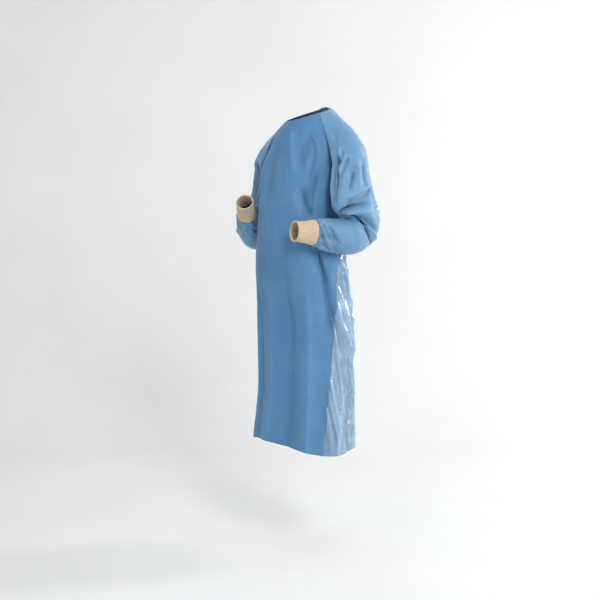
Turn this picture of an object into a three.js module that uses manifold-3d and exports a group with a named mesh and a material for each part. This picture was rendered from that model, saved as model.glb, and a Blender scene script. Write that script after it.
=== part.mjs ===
// A worn surgical gown, hollow and open at neck, hem and cuffs, as it hangs on a general figure.
// It is a front panel, two back panels lapped at the centre back, two raglan sleeves with knitted
// cuffs, a bound neck closed by a tab, and a waist tie with a bow behind.
// Millimetres, +Z up. The gown faces -Y and +X is the wearer's left. The origin is the middle of
// the neck opening at shoulder height, where the gown is held up.
import * as THREE from "three";
import Module from "manifold-3d";

// Driving dimensions
const clothWall = 2;
const seamGap = 0.6;
const gownLength = 1159;
const underarmDrop = 212;
const hem = { rise: 29, lowestDegrees: 70 };
const shoulderTilt = { slope: 0.09, fadeLength: 250 };
const neck = { halfWidth: 76, halfDepth: 72, centreY: 20, drop: 28, frontDip: 24 };
const binding = { share: 0.045, wall: 2.6, proud: 0.4 };
const lap = { neckDegrees: 17, hemDegrees: 32, lift: 5.5, riseDegrees: 26, flatDegrees: 3 };
const waistTie = {
  drop: 476,
  width: 28,
  wall: 1.6,
  clear: 2.4,
  sewn: 0.5,
  startDegrees: 101,
  endDegrees: 179.8,
  risesDegrees: 14,
};
const cuff = { length: 70, wall: 3, ribs: 34, ribHeight: 1.5, rows: 2 };
const bow = {
  knot: [18, 10, 16],
  width: 26,
  wall: 1.8,
  gap: 0.3,
  standOff: 9,
  endDrop: 4,
  endWave: 2,
  endWaveTurn: 9,
  loops: 22,
  ends: 11,
};
const neckTab = { width: 26, wall: 1.8, clear: 1.2, drop: 12, turnDegrees: 56 };

// How finely each piece is divided
const cells = { front: 26, back: 14, sleeve: 28, yoke: 8, binding: 44, tie: 22, tab: 8 };

// Where the rows of the body lie below the underarm
const bodyRowDrops = [
  250, 290, 330, 370, 405, 435, 460, 476, 492, 515, 545, 585, 635, 695, 755, 815, 875, 935, 990,
  1045, 1100, gownLength,
];

// Level sections of the gown's body below the underarm, by how far they lie below the origin.
// front and back are counted from the origin, and the widest place lies behind it by middle.
// The side seam's angle is counted from the centre front.
const bodySections = [
  { drop: 212, halfWidth: 150, front: 124, back: 112, middle: 18, square: 2.3, seam: 90 },
  { drop: 330, halfWidth: 146, front: 148, back: 100, middle: 14, square: 2.3, seam: 94 },
  { drop: 430, halfWidth: 147, front: 156, back: 95, middle: 6, square: 2.3, seam: 98 },
  { drop: 500, halfWidth: 161, front: 152, back: 101, middle: 0, square: 2.3, seam: 93 },
  { drop: 580, halfWidth: 173, front: 141, back: 112, middle: 0, square: 2.3, seam: 84 },
  { drop: 700, halfWidth: 181, front: 121, back: 121, middle: 0, square: 2.3, seam: 77 },
  { drop: 850, halfWidth: 180, front: 109, back: 128, middle: 0, square: 2.3, seam: 69 },
  { drop: 1000, halfWidth: 183, front: 110, back: 128, middle: 0, square: 2.3, seam: 62 },
  { drop: gownLength, halfWidth: 196, front: 127, back: 106, middle: 0, square: 2.3, seam: 56 },
];

// Stations round the neck opening. lead is how a meridian leaves the neckline, lift how it
// comes down to the underarm level. x is towards the side that the station is on.
const stations = {
  centreFront: { angle: 0, lead: [0, -26, -44], lift: [0, 10, 62] },
  raglanFront: { angle: 72, lead: [38, -32, -27], lift: [20, -66, 54] },
  shoulder: { angle: 98, lead: [51, 0, -22], lift: [2, -6, 66] },
  raglanBack: { angle: 127, lead: [30, 34, -12], lift: [18, 54, 58] },
  centreBack: { angle: 180, lead: [0, 30, -18], lift: [0, 6, 78] },
};

// How each arm was held. elbow is where the straight upper arm and forearm would meet, across and
// fore are the sleeve's own radii, loose is how much fuller it is than that, and wristRadius is the
// radius of the cuff's open end.
const arms = {
  left: {
    side: 1,
    elbow: [222, 58, -436],
    wrist: [146, -190, -420],
    across: 50,
    fore: 58,
    loose: 1,
    wristRadius: 31,
  },
  right: {
    side: -1,
    elbow: [-254, 4, -452],
    wrist: [-136, -148, -322],
    across: 46,
    fore: 56,
    loose: -0.2,
    wristRadius: 28,
  },
};
const elbowBend = 94;

// Girths of a sleeve from the underarm (0) to the cuff seam (1), as shares of the arm's own radii.
// inner is the side towards the body, front the front of the upper arm and the top of the forearm,
// rear the other side, and sag how far the cloth hangs below the arm.
const sleeveSections = [
  { along: 0, inner: 1, outer: 1, front: 1.05, rear: 1, sag: 0 },
  { along: 0.15, inner: 1.06, outer: 0.98, front: 1.5, rear: 1, sag: 0 },
  { along: 0.3, inner: 1.04, outer: 0.98, front: 1.92, rear: 1.06, sag: 0 },
  { along: 0.36, inner: 0.99, outer: 0.99, front: 1.9, rear: 1.16, sag: 1 },
  { along: 0.43, inner: 0.94, outer: 1, front: 1.44, rear: 1.28, sag: 2 },
  { along: 0.52, inner: 0.84, outer: 1, front: 1.02, rear: 1.38, sag: 3 },
  { along: 0.64, inner: 0.78, outer: 1.02, front: 1.03, rear: 1.18, sag: 4 },
  { along: 0.8, inner: 0.8, outer: 1.05, front: 0.92, rear: 1, sag: 4 },
  { along: 0.93, inner: 0.8, outer: 0.96, front: 0.82, rear: 0.88, sag: 1 },
  { along: 1, inner: 0.76, outer: 0.76, front: 0.68, rear: 0.7, sag: 0 },
];

// The gathers above a cuff: how many, how deep, where they start and are full, and how far they lean
const cuffGathers = { count: 9, depth: 2.6, from: 0.8, full: 0.97, leanDegrees: 50 };

// Where the rows of a sleeve lie, closer together round the elbow
const sleeveRows = [
  0, 0.05, 0.1, 0.15, 0.2, 0.25, 0.3, 0.34, 0.38, 0.42, 0.46, 0.5, 0.54, 0.58, 0.62, 0.66,
  0.71, 0.77, 0.83, 0.88, 0.92, 0.96, 1,
];

// The largest folds of the body: a line from one angle and drop to another, how wide the fold is
// on each side of its line, and how far it stands out, or in where that is negative.
const bodyFolds = [
  { from: [12, 50], to: [24, 250], width: 18, height: 5 },
  { from: [-12, 80], to: [-8, 330], width: 24, height: -5 },
  { from: [26, 240], to: [56, 70], width: 16, height: -6 },
  { from: [38, 280], to: [58, 390], width: 16, height: -7 },
  { from: [28, 290], to: [46, 430], width: 18, height: 4 },
  { from: [58, 230], to: [50, 350], width: 16, height: -5 },
  { from: [-34, 130], to: [-26, 380], width: 24, height: 4 },
  { from: [41, 470], to: [31, 1480], width: 26, height: 9 },
  { from: [14, 480], to: [7, 1480], width: 28, height: -7 },
  { from: [-9, 480], to: [-17, 1480], width: 30, height: 6 },
  { from: [-35, 500], to: [-38, 1480], width: 28, height: -6 },
  { from: [-56, 600], to: [-58, 1480], width: 28, height: 5 },
  { from: [63, 440], to: [72, 780], width: 14, height: -10 },
  { from: [51, 480], to: [52, 820], width: 18, height: 4 },
  { from: [78, 600], to: [120, 880], width: 18, height: 8 },
  { from: [98, 520], to: [112, 760], width: 20, height: 6 },
  { from: [105, 506], to: [130, 680], width: 16, height: -6 },
  { from: [65, 860], to: [86, 1480], width: 16, height: 7 },
  { from: [92, 880], to: [104, 1480], width: 20, height: -7 },
  { from: [112, 880], to: [122, 1480], width: 22, height: 7 },
  { from: [134, 486], to: [146, 1480], width: 26, height: -6 },
  { from: [160, 486], to: [164, 1480], width: 26, height: 6 },
  { from: [196, 486], to: [192, 1000], width: 26, height: -5 },
  { from: [222, 486], to: [212, 1480], width: 26, height: 6 },
  { from: [244, 486], to: [232, 1480], width: 24, height: -7 },
  { from: [262, 486], to: [256, 1480], width: 24, height: 6 },
  { from: [284, 480], to: [290, 1480], width: 26, height: -6 },
  { from: [124, 250], to: [116, 460], width: 20, height: 5 },
  { from: [148, 200], to: [142, 460], width: 22, height: -5 },
  { from: [170, 220], to: [172, 460], width: 22, height: 4 },
  { from: [206, 230], to: [204, 460], width: 22, height: -4 },
  { from: [232, 240], to: [240, 460], width: 20, height: 5 },
];

// The largest folds of each sleeve: a line from one distance along and angle round to another.
// Distance -1 is the neckline, 0 the underarm and 1 the cuff seam. Angle 0 is the underarm seam,
// 90 the front of the arm and the top of the forearm, 180 the outer side.
const sleeveFolds = {
  left: [
    { from: [-0.3, 64], to: [0.32, 62], width: 12, height: 6 },
    { from: [-0.16, 92], to: [0.36, 84], width: 11, height: -8 },
    { from: [-0.32, 108], to: [0.14, 98], width: 11, height: 6 },
    { from: [0.02, 154], to: [0.26, 136], width: 13, height: -5 },
    { from: [-0.05, 186], to: [0.27, 172], width: 15, height: -4 },
    { from: [0.2, 202], to: [0.31, 128], width: 14, height: 5 },
    { from: [0.24, 214], to: [0.37, 110], width: 12, height: -7 },
    { from: [0.39, 92], to: [0.35, 184], width: 11, height: -9 },
    { from: [0.425, 92], to: [0.42, 196], width: 12, height: 7 },
    { from: [0.44, 76], to: [0.54, 220], width: 11, height: -10 },
    { from: [0.5, 92], to: [0.6, 210], width: 13, height: 6 },
    { from: [0.555, 132], to: [0.575, 266], width: 11, height: -7 },
    { from: [0.62, 120], to: [0.66, 226], width: 15, height: 4 },
    { from: [0.96, 126], to: [0.8, 222], width: 11, height: -4 },
    { from: [0.9, 200], to: [0.72, 268], width: 12, height: -4 },
    { from: [0.1, 300], to: [0.4, 270], width: 18, height: -5 },
    { from: [-0.4, 290], to: [0.14, 312], width: 14, height: 5 },
  ],
  right: [
    { from: [-0.3, 62], to: [0.3, 60], width: 12, height: 5 },
    { from: [-0.18, 88], to: [0.3, 80], width: 11, height: -6 },
    { from: [-0.1, 150], to: [0.3, 124], width: 15, height: -4 },
    { from: [0.18, 218], to: [0.33, 128], width: 14, height: -5 },
    { from: [0.39, 84], to: [0.36, 186], width: 11, height: -8 },
    { from: [0.43, 90], to: [0.43, 200], width: 12, height: 6 },
    { from: [0.46, 80], to: [0.54, 220], width: 11, height: -8 },
    { from: [0.56, 140], to: [0.6, 256], width: 12, height: -5 },
    { from: [0.66, 110], to: [0.78, 200], width: 14, height: 5 },
    { from: [0.94, 120], to: [0.78, 226], width: 11, height: -4 },
    { from: [0.1, 300], to: [0.4, 270], width: 18, height: -5 },
    { from: [-0.4, 290], to: [0.14, 312], width: 14, height: 5 },
  ],
};

// The bow behind: the line of a loop from the knot's middle, sideways, outwards and up, and how
// far each free end hangs, with the angle it swings to from the centre back.
const bowLoop = [
  [2, 0, 0], [24, 6, 1], [50, 10, -1], [74, 10, -6], [87, 4, -10], [80, -2, -10], [54, -4, -6],
  [26, -3, -2], [2, 0, 0],
];
const bowEnds = [
  { side: 1, length: 212, startDegrees: 3, endDegrees: 10 },
  { side: -1, length: 178, startDegrees: 3, endDegrees: 8 },
];

// Colours as seen
const colours = { front: 0x5f97c6, back: 0x8fb4d6, sleeve: 0x69a3d1, cuff: 0xe2cfae, tie: 0x5f97c6 };

const radians = THREE.MathUtils.degToRad;
const mix = THREE.MathUtils.lerp;
const ease = THREE.MathUtils.smoothstep;
const point = (values) => new THREE.Vector3(...values);
const towards = (a, b, share) => a.clone().lerp(b, share);

// A row of a table worked out at any key, on a smooth curve through the table's rows.
function readTable(table, keyName, key) {
  let low = 0;
  while (low < table.length - 2 && key > table[low + 1][keyName]) low += 1;
  const before = table[Math.max(low - 1, 0)];
  const [a, b] = [table[low], table[low + 1]];
  const after = table[Math.min(low + 2, table.length - 1)];
  const span = b[keyName] - a[keyName];
  const t = Math.min(1, (key - a[keyName]) / span);
  const row = {};
  for (const name of Object.keys(a)) {
    const slopeA = (b[name] - before[name]) / (b[keyName] - before[keyName]);
    const slopeB = (after[name] - a[name]) / (after[keyName] - a[keyName]);
    row[name] =
      a[name] * (2 * t ** 3 - 3 * t ** 2 + 1) +
      b[name] * (3 * t ** 2 - 2 * t ** 3) +
      slopeA * span * (t ** 3 - 2 * t ** 2 + t) +
      slopeB * span * (t ** 3 - t ** 2);
  }
  return row;
}

// The neckline, from the centre front at 0 degrees round by the wearer's left.
function neckPoint(angle) {
  const x = neck.halfWidth * Math.sin(radians(angle));
  const y = neck.centreY - neck.halfDepth * Math.cos(radians(angle));
  const z = -neck.drop - neck.frontDip * Math.cos(radians(angle)) + shoulderTilt.slope * x;
  return new THREE.Vector3(x, y, z);
}

// The body below the underarm.
function bodyPoint(angle, drop) {
  const section = readTable(bodySections, "drop", drop);
  const [s, c] = [Math.sin(radians(angle)), Math.cos(radians(angle))];
  const power = 2 / section.square;
  const x = section.halfWidth * Math.sign(s) * Math.abs(s) ** power;
  const depth = c > 0 ? section.front + section.middle : section.back - section.middle;
  const y = section.middle - depth * Math.sign(c) * Math.abs(c) ** power;
  const hemShare = Math.max(0, (drop - underarmDrop) / (gownLength - underarmDrop));
  const rise = hem.rise * hemShare * (1 - Math.cos(2 * radians(angle - hem.lowestDegrees))) * 0.5;
  const fade = ease(drop, underarmDrop, underarmDrop + shoulderTilt.fadeLength);
  const tilt = shoulderTilt.slope * x * (1 - fade);
  return new THREE.Vector3(x, y, -drop + rise + tilt);
}

// A point on the curve from the neckline down to a point at underarm level.
function meridianPoint(column, t) {
  const start = column.neck;
  const end = column.end;
  const lead = start.clone().add(column.lead);
  const lift = end.clone().add(column.lift);
  return start
    .clone()
    .multiplyScalar((1 - t) ** 3)
    .addScaledVector(lead, 3 * t * (1 - t) ** 2)
    .addScaledVector(lift, 3 * t ** 2 * (1 - t))
    .addScaledVector(end, t ** 3);
}

// lead and lift part of the way from one station to another, on the side given.
function betweenStations(a, b, leadShare, liftShare, side) {
  const turned = (values) => point([values[0] * side, values[1], values[2]]);
  return {
    lead: towards(turned(a.lead), turned(b.lead), leadShare),
    lift: towards(turned(a.lift), turned(b.lift), liftShare),
  };
}

// How soon the panels' meridians turn towards the raglan seam, at the neck and at the underarm.
const seamPull = { neck: 1.6, underarm: 6 };

// The meridian of the front panel at a share from -1 (right raglan seam) to 1 (left raglan seam).
function frontMeridian(share) {
  const { centreFront, raglanFront } = stations;
  const [near, far] = [Math.abs(share) ** seamPull.neck, Math.abs(share) ** seamPull.underarm];
  const bend = betweenStations(centreFront, raglanFront, near, far, Math.sign(share));
  const end = bodyPoint(share * 90, underarmDrop);
  return { neck: neckPoint(share * raglanFront.angle), end, ...bend };
}

// The meridian of the back at a share from -1 (left raglan seam) over 0 (centre back) to 1.
function backMeridian(share) {
  const { centreBack, raglanBack } = stations;
  const [near, far] = [Math.abs(share) ** seamPull.neck, Math.abs(share) ** seamPull.underarm];
  const bend = betweenStations(centreBack, raglanBack, near, far, -Math.sign(share));
  const neckAngle = 180 + share * (180 - raglanBack.angle);
  return { neck: neckPoint(neckAngle), end: bodyPoint(180 + share * 90, underarmDrop), ...bend };
}

// The line down the middle of a sleeve, with the directions across it and to its front.
function armLine(arm) {
  const underarm = bodyPoint(90 * arm.side, underarmDrop);
  const elbow = point(arm.elbow);
  const wrist = point(arm.wrist);
  const start = underarm.clone().add(point([arm.side * arm.across, 0, 0]));
  const axis = elbow.clone().sub(start).normalize();
  const inward = point([-arm.side, 0, 0]).projectOnPlane(axis).normalize();
  const centre = underarm.clone().addScaledVector(inward, -arm.across);
  const front = inward.clone().cross(axis).multiplyScalar(arm.side);
  const forearm = wrist.clone().sub(elbow).normalize();
  const bendStart = elbow.clone().addScaledVector(axis, -elbowBend);
  const bendEnd = elbow.clone().addScaledVector(forearm, elbowBend);
  const cuffSeam = wrist.clone().addScaledVector(forearm, -cuff.length);
  const line = new THREE.CurvePath();
  line.add(new THREE.LineCurve3(centre, bendStart));
  line.add(new THREE.QuadraticBezierCurve3(bendStart, elbow, bendEnd));
  line.add(new THREE.LineCurve3(bendEnd, cuffSeam));
  return { line, axis, inward, front, forearm, cuffSeam, wrist };
}

// The sleeve's directions at a share of its length, turned with the arm's line. Their tangent is
// taken just inside the line's ends.
const tangentInset = 0.001;
function armFrame(armCurve, along) {
  const inside = THREE.MathUtils.clamp(along, tangentInset, 1 - tangentInset);
  const tangent = armCurve.line.getTangentAt(inside).normalize();
  const turn = new THREE.Quaternion().setFromUnitVectors(armCurve.axis, tangent);
  return {
    centre: armCurve.line.getPointAt(along),
    inward: armCurve.inward.clone().applyQuaternion(turn),
    front: armCurve.front.clone().applyQuaternion(turn),
  };
}

// The sleeve below the underarm, at a share of its length and an angle round it.
function tubePoint(arm, armCurve, along, angle) {
  const girth = readTable(sleeveSections, "along", along);
  const top = { ...armCurve, centre: armCurve.line.getPoint(0) };
  const frame = along === 0 ? top : armFrame(armCurve, along);
  const [s, c] = [Math.sin(radians(angle)), Math.cos(radians(angle))];
  const gather = ease(along, cuffGathers.from, cuffGathers.full) * cuffGathers.depth;
  const wave = gather * Math.cos(radians(angle * cuffGathers.count + cuffGathers.leanDegrees * s));
  const across = arm.across * (c > 0 ? girth.inner : girth.outer) + wave;
  const loose = 1 + (girth.front - 1) * (girth.front > 1 ? arm.loose : 1);
  const fore = arm.fore * (s > 0 ? loose : girth.rear) + wave;
  const centre = frame.centre.clone().add(point([0, 0, -girth.sag]));
  return centre.addScaledVector(frame.inward, across * c).addScaledVector(frame.front, fore * s);
}

// How far round from the seam a sleeve's meridians take on the shoulder's bend: at the neckline,
// and where they come down to the underarm.
const shoulderReach = { lead: 180, leadPower: 0.8, lift: 96 };

// The sleeve's meridian over the shoulder at an angle round the sleeve.
function sleeveMeridian(arm, armCurve, angle) {
  const { raglanFront, shoulder, raglanBack } = stations;
  const share = angle / 360;
  const seam = share < 0.5 ? raglanFront : raglanBack;
  const fromSeam = Math.min(angle, 360 - angle);
  const leadShare = ease(fromSeam, 0, shoulderReach.lead) ** shoulderReach.leadPower;
  const liftShare = ease(fromSeam, 0, shoulderReach.lift);
  const bend = betweenStations(seam, shoulder, leadShare, liftShare, arm.side);
  const neckAngle = arm.side * mix(raglanFront.angle, raglanBack.angle, share);
  return { neck: neckPoint(neckAngle), end: tubePoint(arm, armCurve, 0, angle), ...bend };
}

// The sleeve from the neckline (-1) over the underarm (0) to the cuff seam (1).
function sleevePoint(arm, armCurve, along, angle) {
  if (along >= 0) return tubePoint(arm, armCurve, along, angle);
  return meridianPoint(sleeveMeridian(arm, armCurve, angle), 1 + along);
}

// The front and the back of the body from the neckline to the hem, at an angle from the centre
// front.
function frontPoint(angle, drop) {
  if (drop >= underarmDrop) return bodyPoint(angle, drop);
  return meridianPoint(frontMeridian(angle / 90), drop / underarmDrop);
}

function backPoint(angle, drop) {
  if (drop >= underarmDrop) return bodyPoint(angle, drop);
  return meridianPoint(backMeridian((angle - 180) / 90), drop / underarmDrop);
}

function panelPoint(angle, drop) {
  return Math.abs(angle) < 90 ? frontPoint(angle, drop) : backPoint(angle, drop);
}

// Folds: a fold is a row of points on the cloth, and moves what is near it out or in.
const foldPoints = 9;
const foldTaper = 0.25;
function foldLine(fold, place) {
  const line = [];
  for (let i = 0; i < foldPoints; i += 1) {
    const share = i / (foldPoints - 1);
    line.push(place(mix(fold.from[0], fold.to[0], share), mix(fold.from[1], fold.to[1], share)));
  }
  return { ...fold, line };
}

function nearestOn(line, where) {
  let nearest = Infinity;
  let share = 0;
  const spot = new THREE.Vector3();
  for (let i = 0; i + 1 < line.length; i += 1) {
    const stretch = new THREE.Line3(line[i], line[i + 1]);
    const t = stretch.closestPointToPointParameter(where, true);
    const distance = stretch.at(t, spot).distanceTo(where);
    if (distance < nearest) [nearest, share] = [distance, (i + t) / (line.length - 1)];
  }
  return { nearest, share };
}

function foldHeight(fold, where) {
  const { nearest, share } = nearestOn(fold.line, where);
  const taper = ease(share, 0, foldTaper) * (1 - ease(share, 1 - foldTaper, 1));
  return fold.height * taper * Math.exp(-((nearest / fold.width) ** 2));
}

// A sheet of the cloth: a grid of points, rows by columns, and which way its faces turn.
function makeSheet(name, rows, columns, turned, place) {
  const grid = rows.map((row) => columns.map((column) => place(row, column)));
  return { name, grid, turned };
}

const range = (count) => Array.from({ length: count + 1 }, (_, i) => i / count);
const pointKey = (p) => [p.x, p.y, p.z].map((v) => Math.round(v * 100)).join(" ");

// All sheets joined where they meet, so that neighbours share their edges' points and normals.
function joinSheets(sheets) {
  const points = [];
  const known = new Map();
  const pieces = new Map();
  for (const { name, grid, turned } of sheets) {
    const index = grid.map((row) =>
      row.map((p) => {
        const key = pointKey(p);
        if (!known.has(key)) known.set(key, points.push(p) - 1);
        return known.get(key);
      }),
    );
    const faces = pieces.get(name) ?? [];
    for (let i = 0; i + 1 < index.length; i += 1) {
      for (let j = 0; j + 1 < index[i].length; j += 1) {
        const [a, b] = [index[i][j], index[i + 1][j]];
        const [c, d] = [index[i + 1][j + 1], index[i][j + 1]];
        faces.push(...(turned ? [[a, c, b], [a, d, c]] : [[a, b, c], [a, c, d]]));
      }
    }
    pieces.set(name, faces.filter((f) => new Set(f).size === 3));
  }
  return { points, pieces };
}

// Which way is out at every point. Where pieces meet, each piece counts alike.
function pointNormals(points, pieces) {
  const normals = points.map(() => new THREE.Vector3());
  const triangle = new THREE.Triangle();
  const normal = new THREE.Vector3();
  for (const faces of pieces.values()) {
    const own = new Map();
    for (const face of faces) {
      triangle.set(...face.map((i) => points[i]));
      triangle.getNormal(normal).multiplyScalar(triangle.getArea());
      for (const i of face) own.set(i, (own.get(i) ?? new THREE.Vector3()).add(normal));
    }
    for (const [i, sum] of own) normals[i].add(sum.normalize());
  }
  return normals.map((n) => n.normalize());
}

// Moves the points of one piece's open edges into the piece, which leaves the gap of its seams.
function drawnBack(points, normals, faces, distance) {
  const uses = new Map();
  for (const [a, b, c] of faces) {
    for (const [i, j] of [[a, b], [b, c], [c, a]]) uses.set(`${i} ${j}`, [i, j]);
  }
  const rim = [...uses.values()].filter(([i, j]) => !uses.has(`${j} ${i}`));
  const inwards = new Map(rim.flat().map((i) => [i, new THREE.Vector3()]));
  for (const [i, j] of rim) {
    const along = points[j].clone().sub(points[i]).normalize();
    for (const k of [i, j]) inwards.get(k).add(normals[k].clone().cross(along).normalize());
  }
  const moved = points.map((p) => p.clone());
  for (const [i, way] of inwards) moved[i].addScaledVector(way.normalize(), distance);
  return { moved, rim };
}

// A closed wall with its outer side on the given points.
function wallGeometry(points, normals, faces, thickness, gap = seamGap / 2) {
  const { moved, rim } = drawnBack(points, normals, faces, gap);
  const used = [...new Set(faces.flat())];
  const place = new Map(used.map((i, k) => [i, k]));
  const outer = used.map((i) => moved[i]);
  const inner = used.map((i) => moved[i].clone().addScaledVector(normals[i], -thickness));
  const index = [];
  const count = used.length;
  for (const [a, b, c] of faces.map((face) => face.map((i) => place.get(i)))) {
    index.push(a, b, c, a + count, c + count, b + count);
  }
  for (const [from, to] of rim) {
    // Neighbours split the wall of a shared edge the same way.
    const [i, j] = [place.get(from), place.get(to)];
    if (from < to) index.push(i, i + count, j, j, i + count, j + count);
    else index.push(i, i + count, j + count, i, j + count, j);
  }
  const geometry = new THREE.BufferGeometry().setFromPoints([...outer, ...inner]);
  geometry.setIndex(index);
  geometry.computeVertexNormals();
  return geometry;
}

function clothMaterial(color, roughness) {
  return new THREE.MeshStandardMaterial({ color, roughness, metalness: 0 });
}

const materials = {
  front: clothMaterial(colours.front, 0.72),
  back: clothMaterial(colours.back, 0.5),
  sleeve: clothMaterial(colours.sleeve, 0.62),
  cuff: clothMaterial(colours.cuff, 0.95),
  tie: clothMaterial(colours.tie, 0.72),
};

const gown = new THREE.Group();
function addPiece(name, geometry, material) {
  const mesh = new THREE.Mesh(geometry, material);
  mesh.name = name;
  gown.add(mesh);
}

// Angles of the panels' edges at a drop: the side seam, and how far the lap passes the centre back.
function seamAngle(drop) {
  return drop <= underarmDrop ? 90 : readTable(bodySections, "drop", drop).seam;
}

function lapAngle(drop) {
  return mix(lap.neckDegrees, lap.hemDegrees, Math.min(1, drop / gownLength));
}

// How far the upper layer of the lap stands off the lower one.
function lapLift(angle, drop) {
  const lowerEdge = 180 - lapAngle(drop);
  return lap.lift * ease(angle, lowerEdge - lap.riseDegrees, lowerEdge - lap.flatDegrees);
}

const yokeRows = range(cells.yoke).map((share) => mix(binding.share, 1, share) * underarmDrop);
const bodyRows = [...yokeRows, ...bodyRowDrops];

// A point of the gown moved out by some height, for laying one layer over another.
function laidOn(place, angle, drop, height) {
  const step = 1;
  const here = place(angle, drop);
  if (height === 0) return here;
  const beside = place(angle + step, drop).sub(here);
  const below = place(angle, drop + step).sub(here);
  return here.addScaledVector(below.cross(beside).normalize(), height);
}

function frontSheet() {
  const shares = range(cells.front).map((share) => share * 2 - 1);
  return makeSheet("gown_front", bodyRows, shares, false, (drop, share) =>
    frontPoint(share * seamAngle(drop), drop),
  );
}

// The left back panel, which laps over the right one.
function backLeftSheet() {
  return makeSheet("back_left", bodyRows, range(cells.back), false, (drop, share) => {
    const angle = mix(seamAngle(drop), 180 + lapAngle(drop), share);
    return laidOn(backPoint, angle, drop, lapLift(angle, drop));
  });
}

function backRightSheet() {
  return makeSheet("back_right", bodyRows, range(cells.back), false, (drop, share) =>
    backPoint(mix(180 - lapAngle(drop), 360 - seamAngle(drop), share), drop),
  );
}

// How much wider a sleeve's columns stand at its seam, where they crowd together at the neckline
const seamSpread = 0.06;

function sleeveSheet(name, arm, armCurve) {
  const yoke = range(cells.yoke).map((share) => mix(binding.share, 1, share) - 1);
  const rows = [...yoke, ...sleeveRows.slice(1)];
  const spread = (share) => share + seamSpread * Math.sin(2 * Math.PI * share);
  const angles = range(cells.sleeve).map((share) => 360 * spread(share));
  return makeSheet(name, rows, angles, arm.side < 0, (along, angle) => {
    const closing = along >= 0 && Math.round(angle) === 360 ? 0 : angle;
    return sleevePoint(arm, armCurve, along, closing);
  });
}

const armCurves = { left: armLine(arms.left), right: armLine(arms.right) };
const folds = {
  gown_front: bodyFolds.map((fold) => foldLine(fold, panelPoint)),
  sleeve_left: sleeveFolds.left.map((fold) =>
    foldLine(fold, (along, angle) => sleevePoint(arms.left, armCurves.left, along, angle)),
  ),
  sleeve_right: sleeveFolds.right.map((fold) =>
    foldLine(fold, (along, angle) => sleevePoint(arms.right, armCurves.right, along, angle)),
  ),
};

// The raglan seams. Folds fade out where they come to one.
const seamCalm = { from: 3, to: 22 };
const raglanSeams = [frontPoint, backPoint].flatMap((place) =>
  [1, -1].map((side) => {
    const angle = place === frontPoint ? 90 * side : 180 - 90 * side;
    return range(cells.yoke).map((share) => place(angle, share * underarmDrop));
  }),
);

function seamFade(where) {
  const nearest = Math.min(...raglanSeams.map((line) => nearestOn(line, where).nearest));
  return ease(nearest, seamCalm.from, seamCalm.to);
}

// The cloth as one surface, folded, then parted into its pieces.
function buildCloth() {
  const sheets = [
    frontSheet(),
    backLeftSheet(),
    backRightSheet(),
    sleeveSheet("sleeve_left", arms.left, armCurves.left),
    sleeveSheet("sleeve_right", arms.right, armCurves.right),
  ];
  const { points, pieces } = joinSheets(sheets);
  const flatNormals = pointNormals(points, pieces);
  const owners = points.map(() => []);
  for (const [name, faces] of pieces) {
    for (const i of new Set(faces.flat())) owners[i].push(name);
  }
  const folded = points.map((p, i) => {
    const kind = owners[i].find((name) => name.startsWith("sleeve")) ?? "gown_front";
    const height = folds[kind].reduce((sum, fold) => sum + foldHeight(fold, p), 0);
    return p.clone().addScaledVector(flatNormals[i], height * seamFade(p));
  });
  const normals = pointNormals(folded, pieces);
  for (const side of [1, -1]) {
    // The saddle under each arm faces down.
    const underarm = pointKey(bodyPoint(90 * side, underarmDrop));
    const at = points.findIndex((p) => pointKey(p) === underarm);
    normals[at].set(0, 0, -1);
  }
  for (const [name, faces] of pieces) {
    const kind = ["front", "back", "sleeve"].find((word) => name.includes(word));
    addPiece(name, wallGeometry(folded, normals, faces, clothWall), materials[kind]);
  }
}

buildCloth();

// A cuff: a knitted tube, ribbed outside and plain inside. It narrows fast from the sleeve's end.
const cuffNarrowing = -0.2;
function cuffGeometry(arm, armCurve) {
  const columns = cuff.ribs * 2;
  const seamGirth = readTable(sleeveSections, "along", 1);
  const frame = armFrame(armCurve, 1);
  const grid = { outer: [], inner: [] };
  for (const share of range(cuff.rows)) {
    const centre = armCurve.cuffSeam
      .clone()
      .addScaledVector(armCurve.forearm, mix(seamGap, cuff.length, share));
    const narrowed = ease(share, cuffNarrowing, 1);
    const across = mix(arm.across * seamGirth.inner, arm.wristRadius, narrowed);
    const fore = mix(arm.fore * seamGirth.front, arm.wristRadius, narrowed);
    for (let j = 0; j < columns; j += 1) {
      const turn = (j / columns) * 2 * Math.PI;
      const ring = (extra) =>
        centre
          .clone()
          .addScaledVector(frame.inward, (across + extra) * Math.cos(turn))
          .addScaledVector(frame.front, (fore + extra) * Math.sin(turn));
      grid.outer.push(ring(j % 2 ? cuff.ribHeight : 0));
      grid.inner.push(ring(-cuff.wall));
    }
  }
  const count = grid.outer.length;
  const index = [];
  const quad = (a, b, c, d) => (arm.side > 0 ? index.push(a, b, c, a, c, d) : index.push(a, c, b, a, d, c));
  for (let j = 0; j < columns; j += 1) {
    const next = (j + 1) % columns;
    for (let i = 0; i < cuff.rows; i += 1) {
      const [above, below] = [i * columns, (i + 1) * columns];
      const [a, b, c, d] = [above + j, below + j, below + next, above + next];
      quad(a, b, c, d);
      quad(count + a, count + d, count + c, count + b);
    }
    const last = cuff.rows * columns;
    quad(j, next, count + next, count + j);
    quad(last + j, count + last + j, count + last + next, last + next);
  }
  const geometry = new THREE.BufferGeometry().setFromPoints([...grid.outer, ...grid.inner]);
  geometry.setIndex(index);
  geometry.computeVertexNormals();
  return geometry;
}

addPiece("cuff_left", cuffGeometry(arms.left, armCurves.left), materials.cuff);
addPiece("cuff_right", cuffGeometry(arms.right, armCurves.right), materials.cuff);

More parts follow.
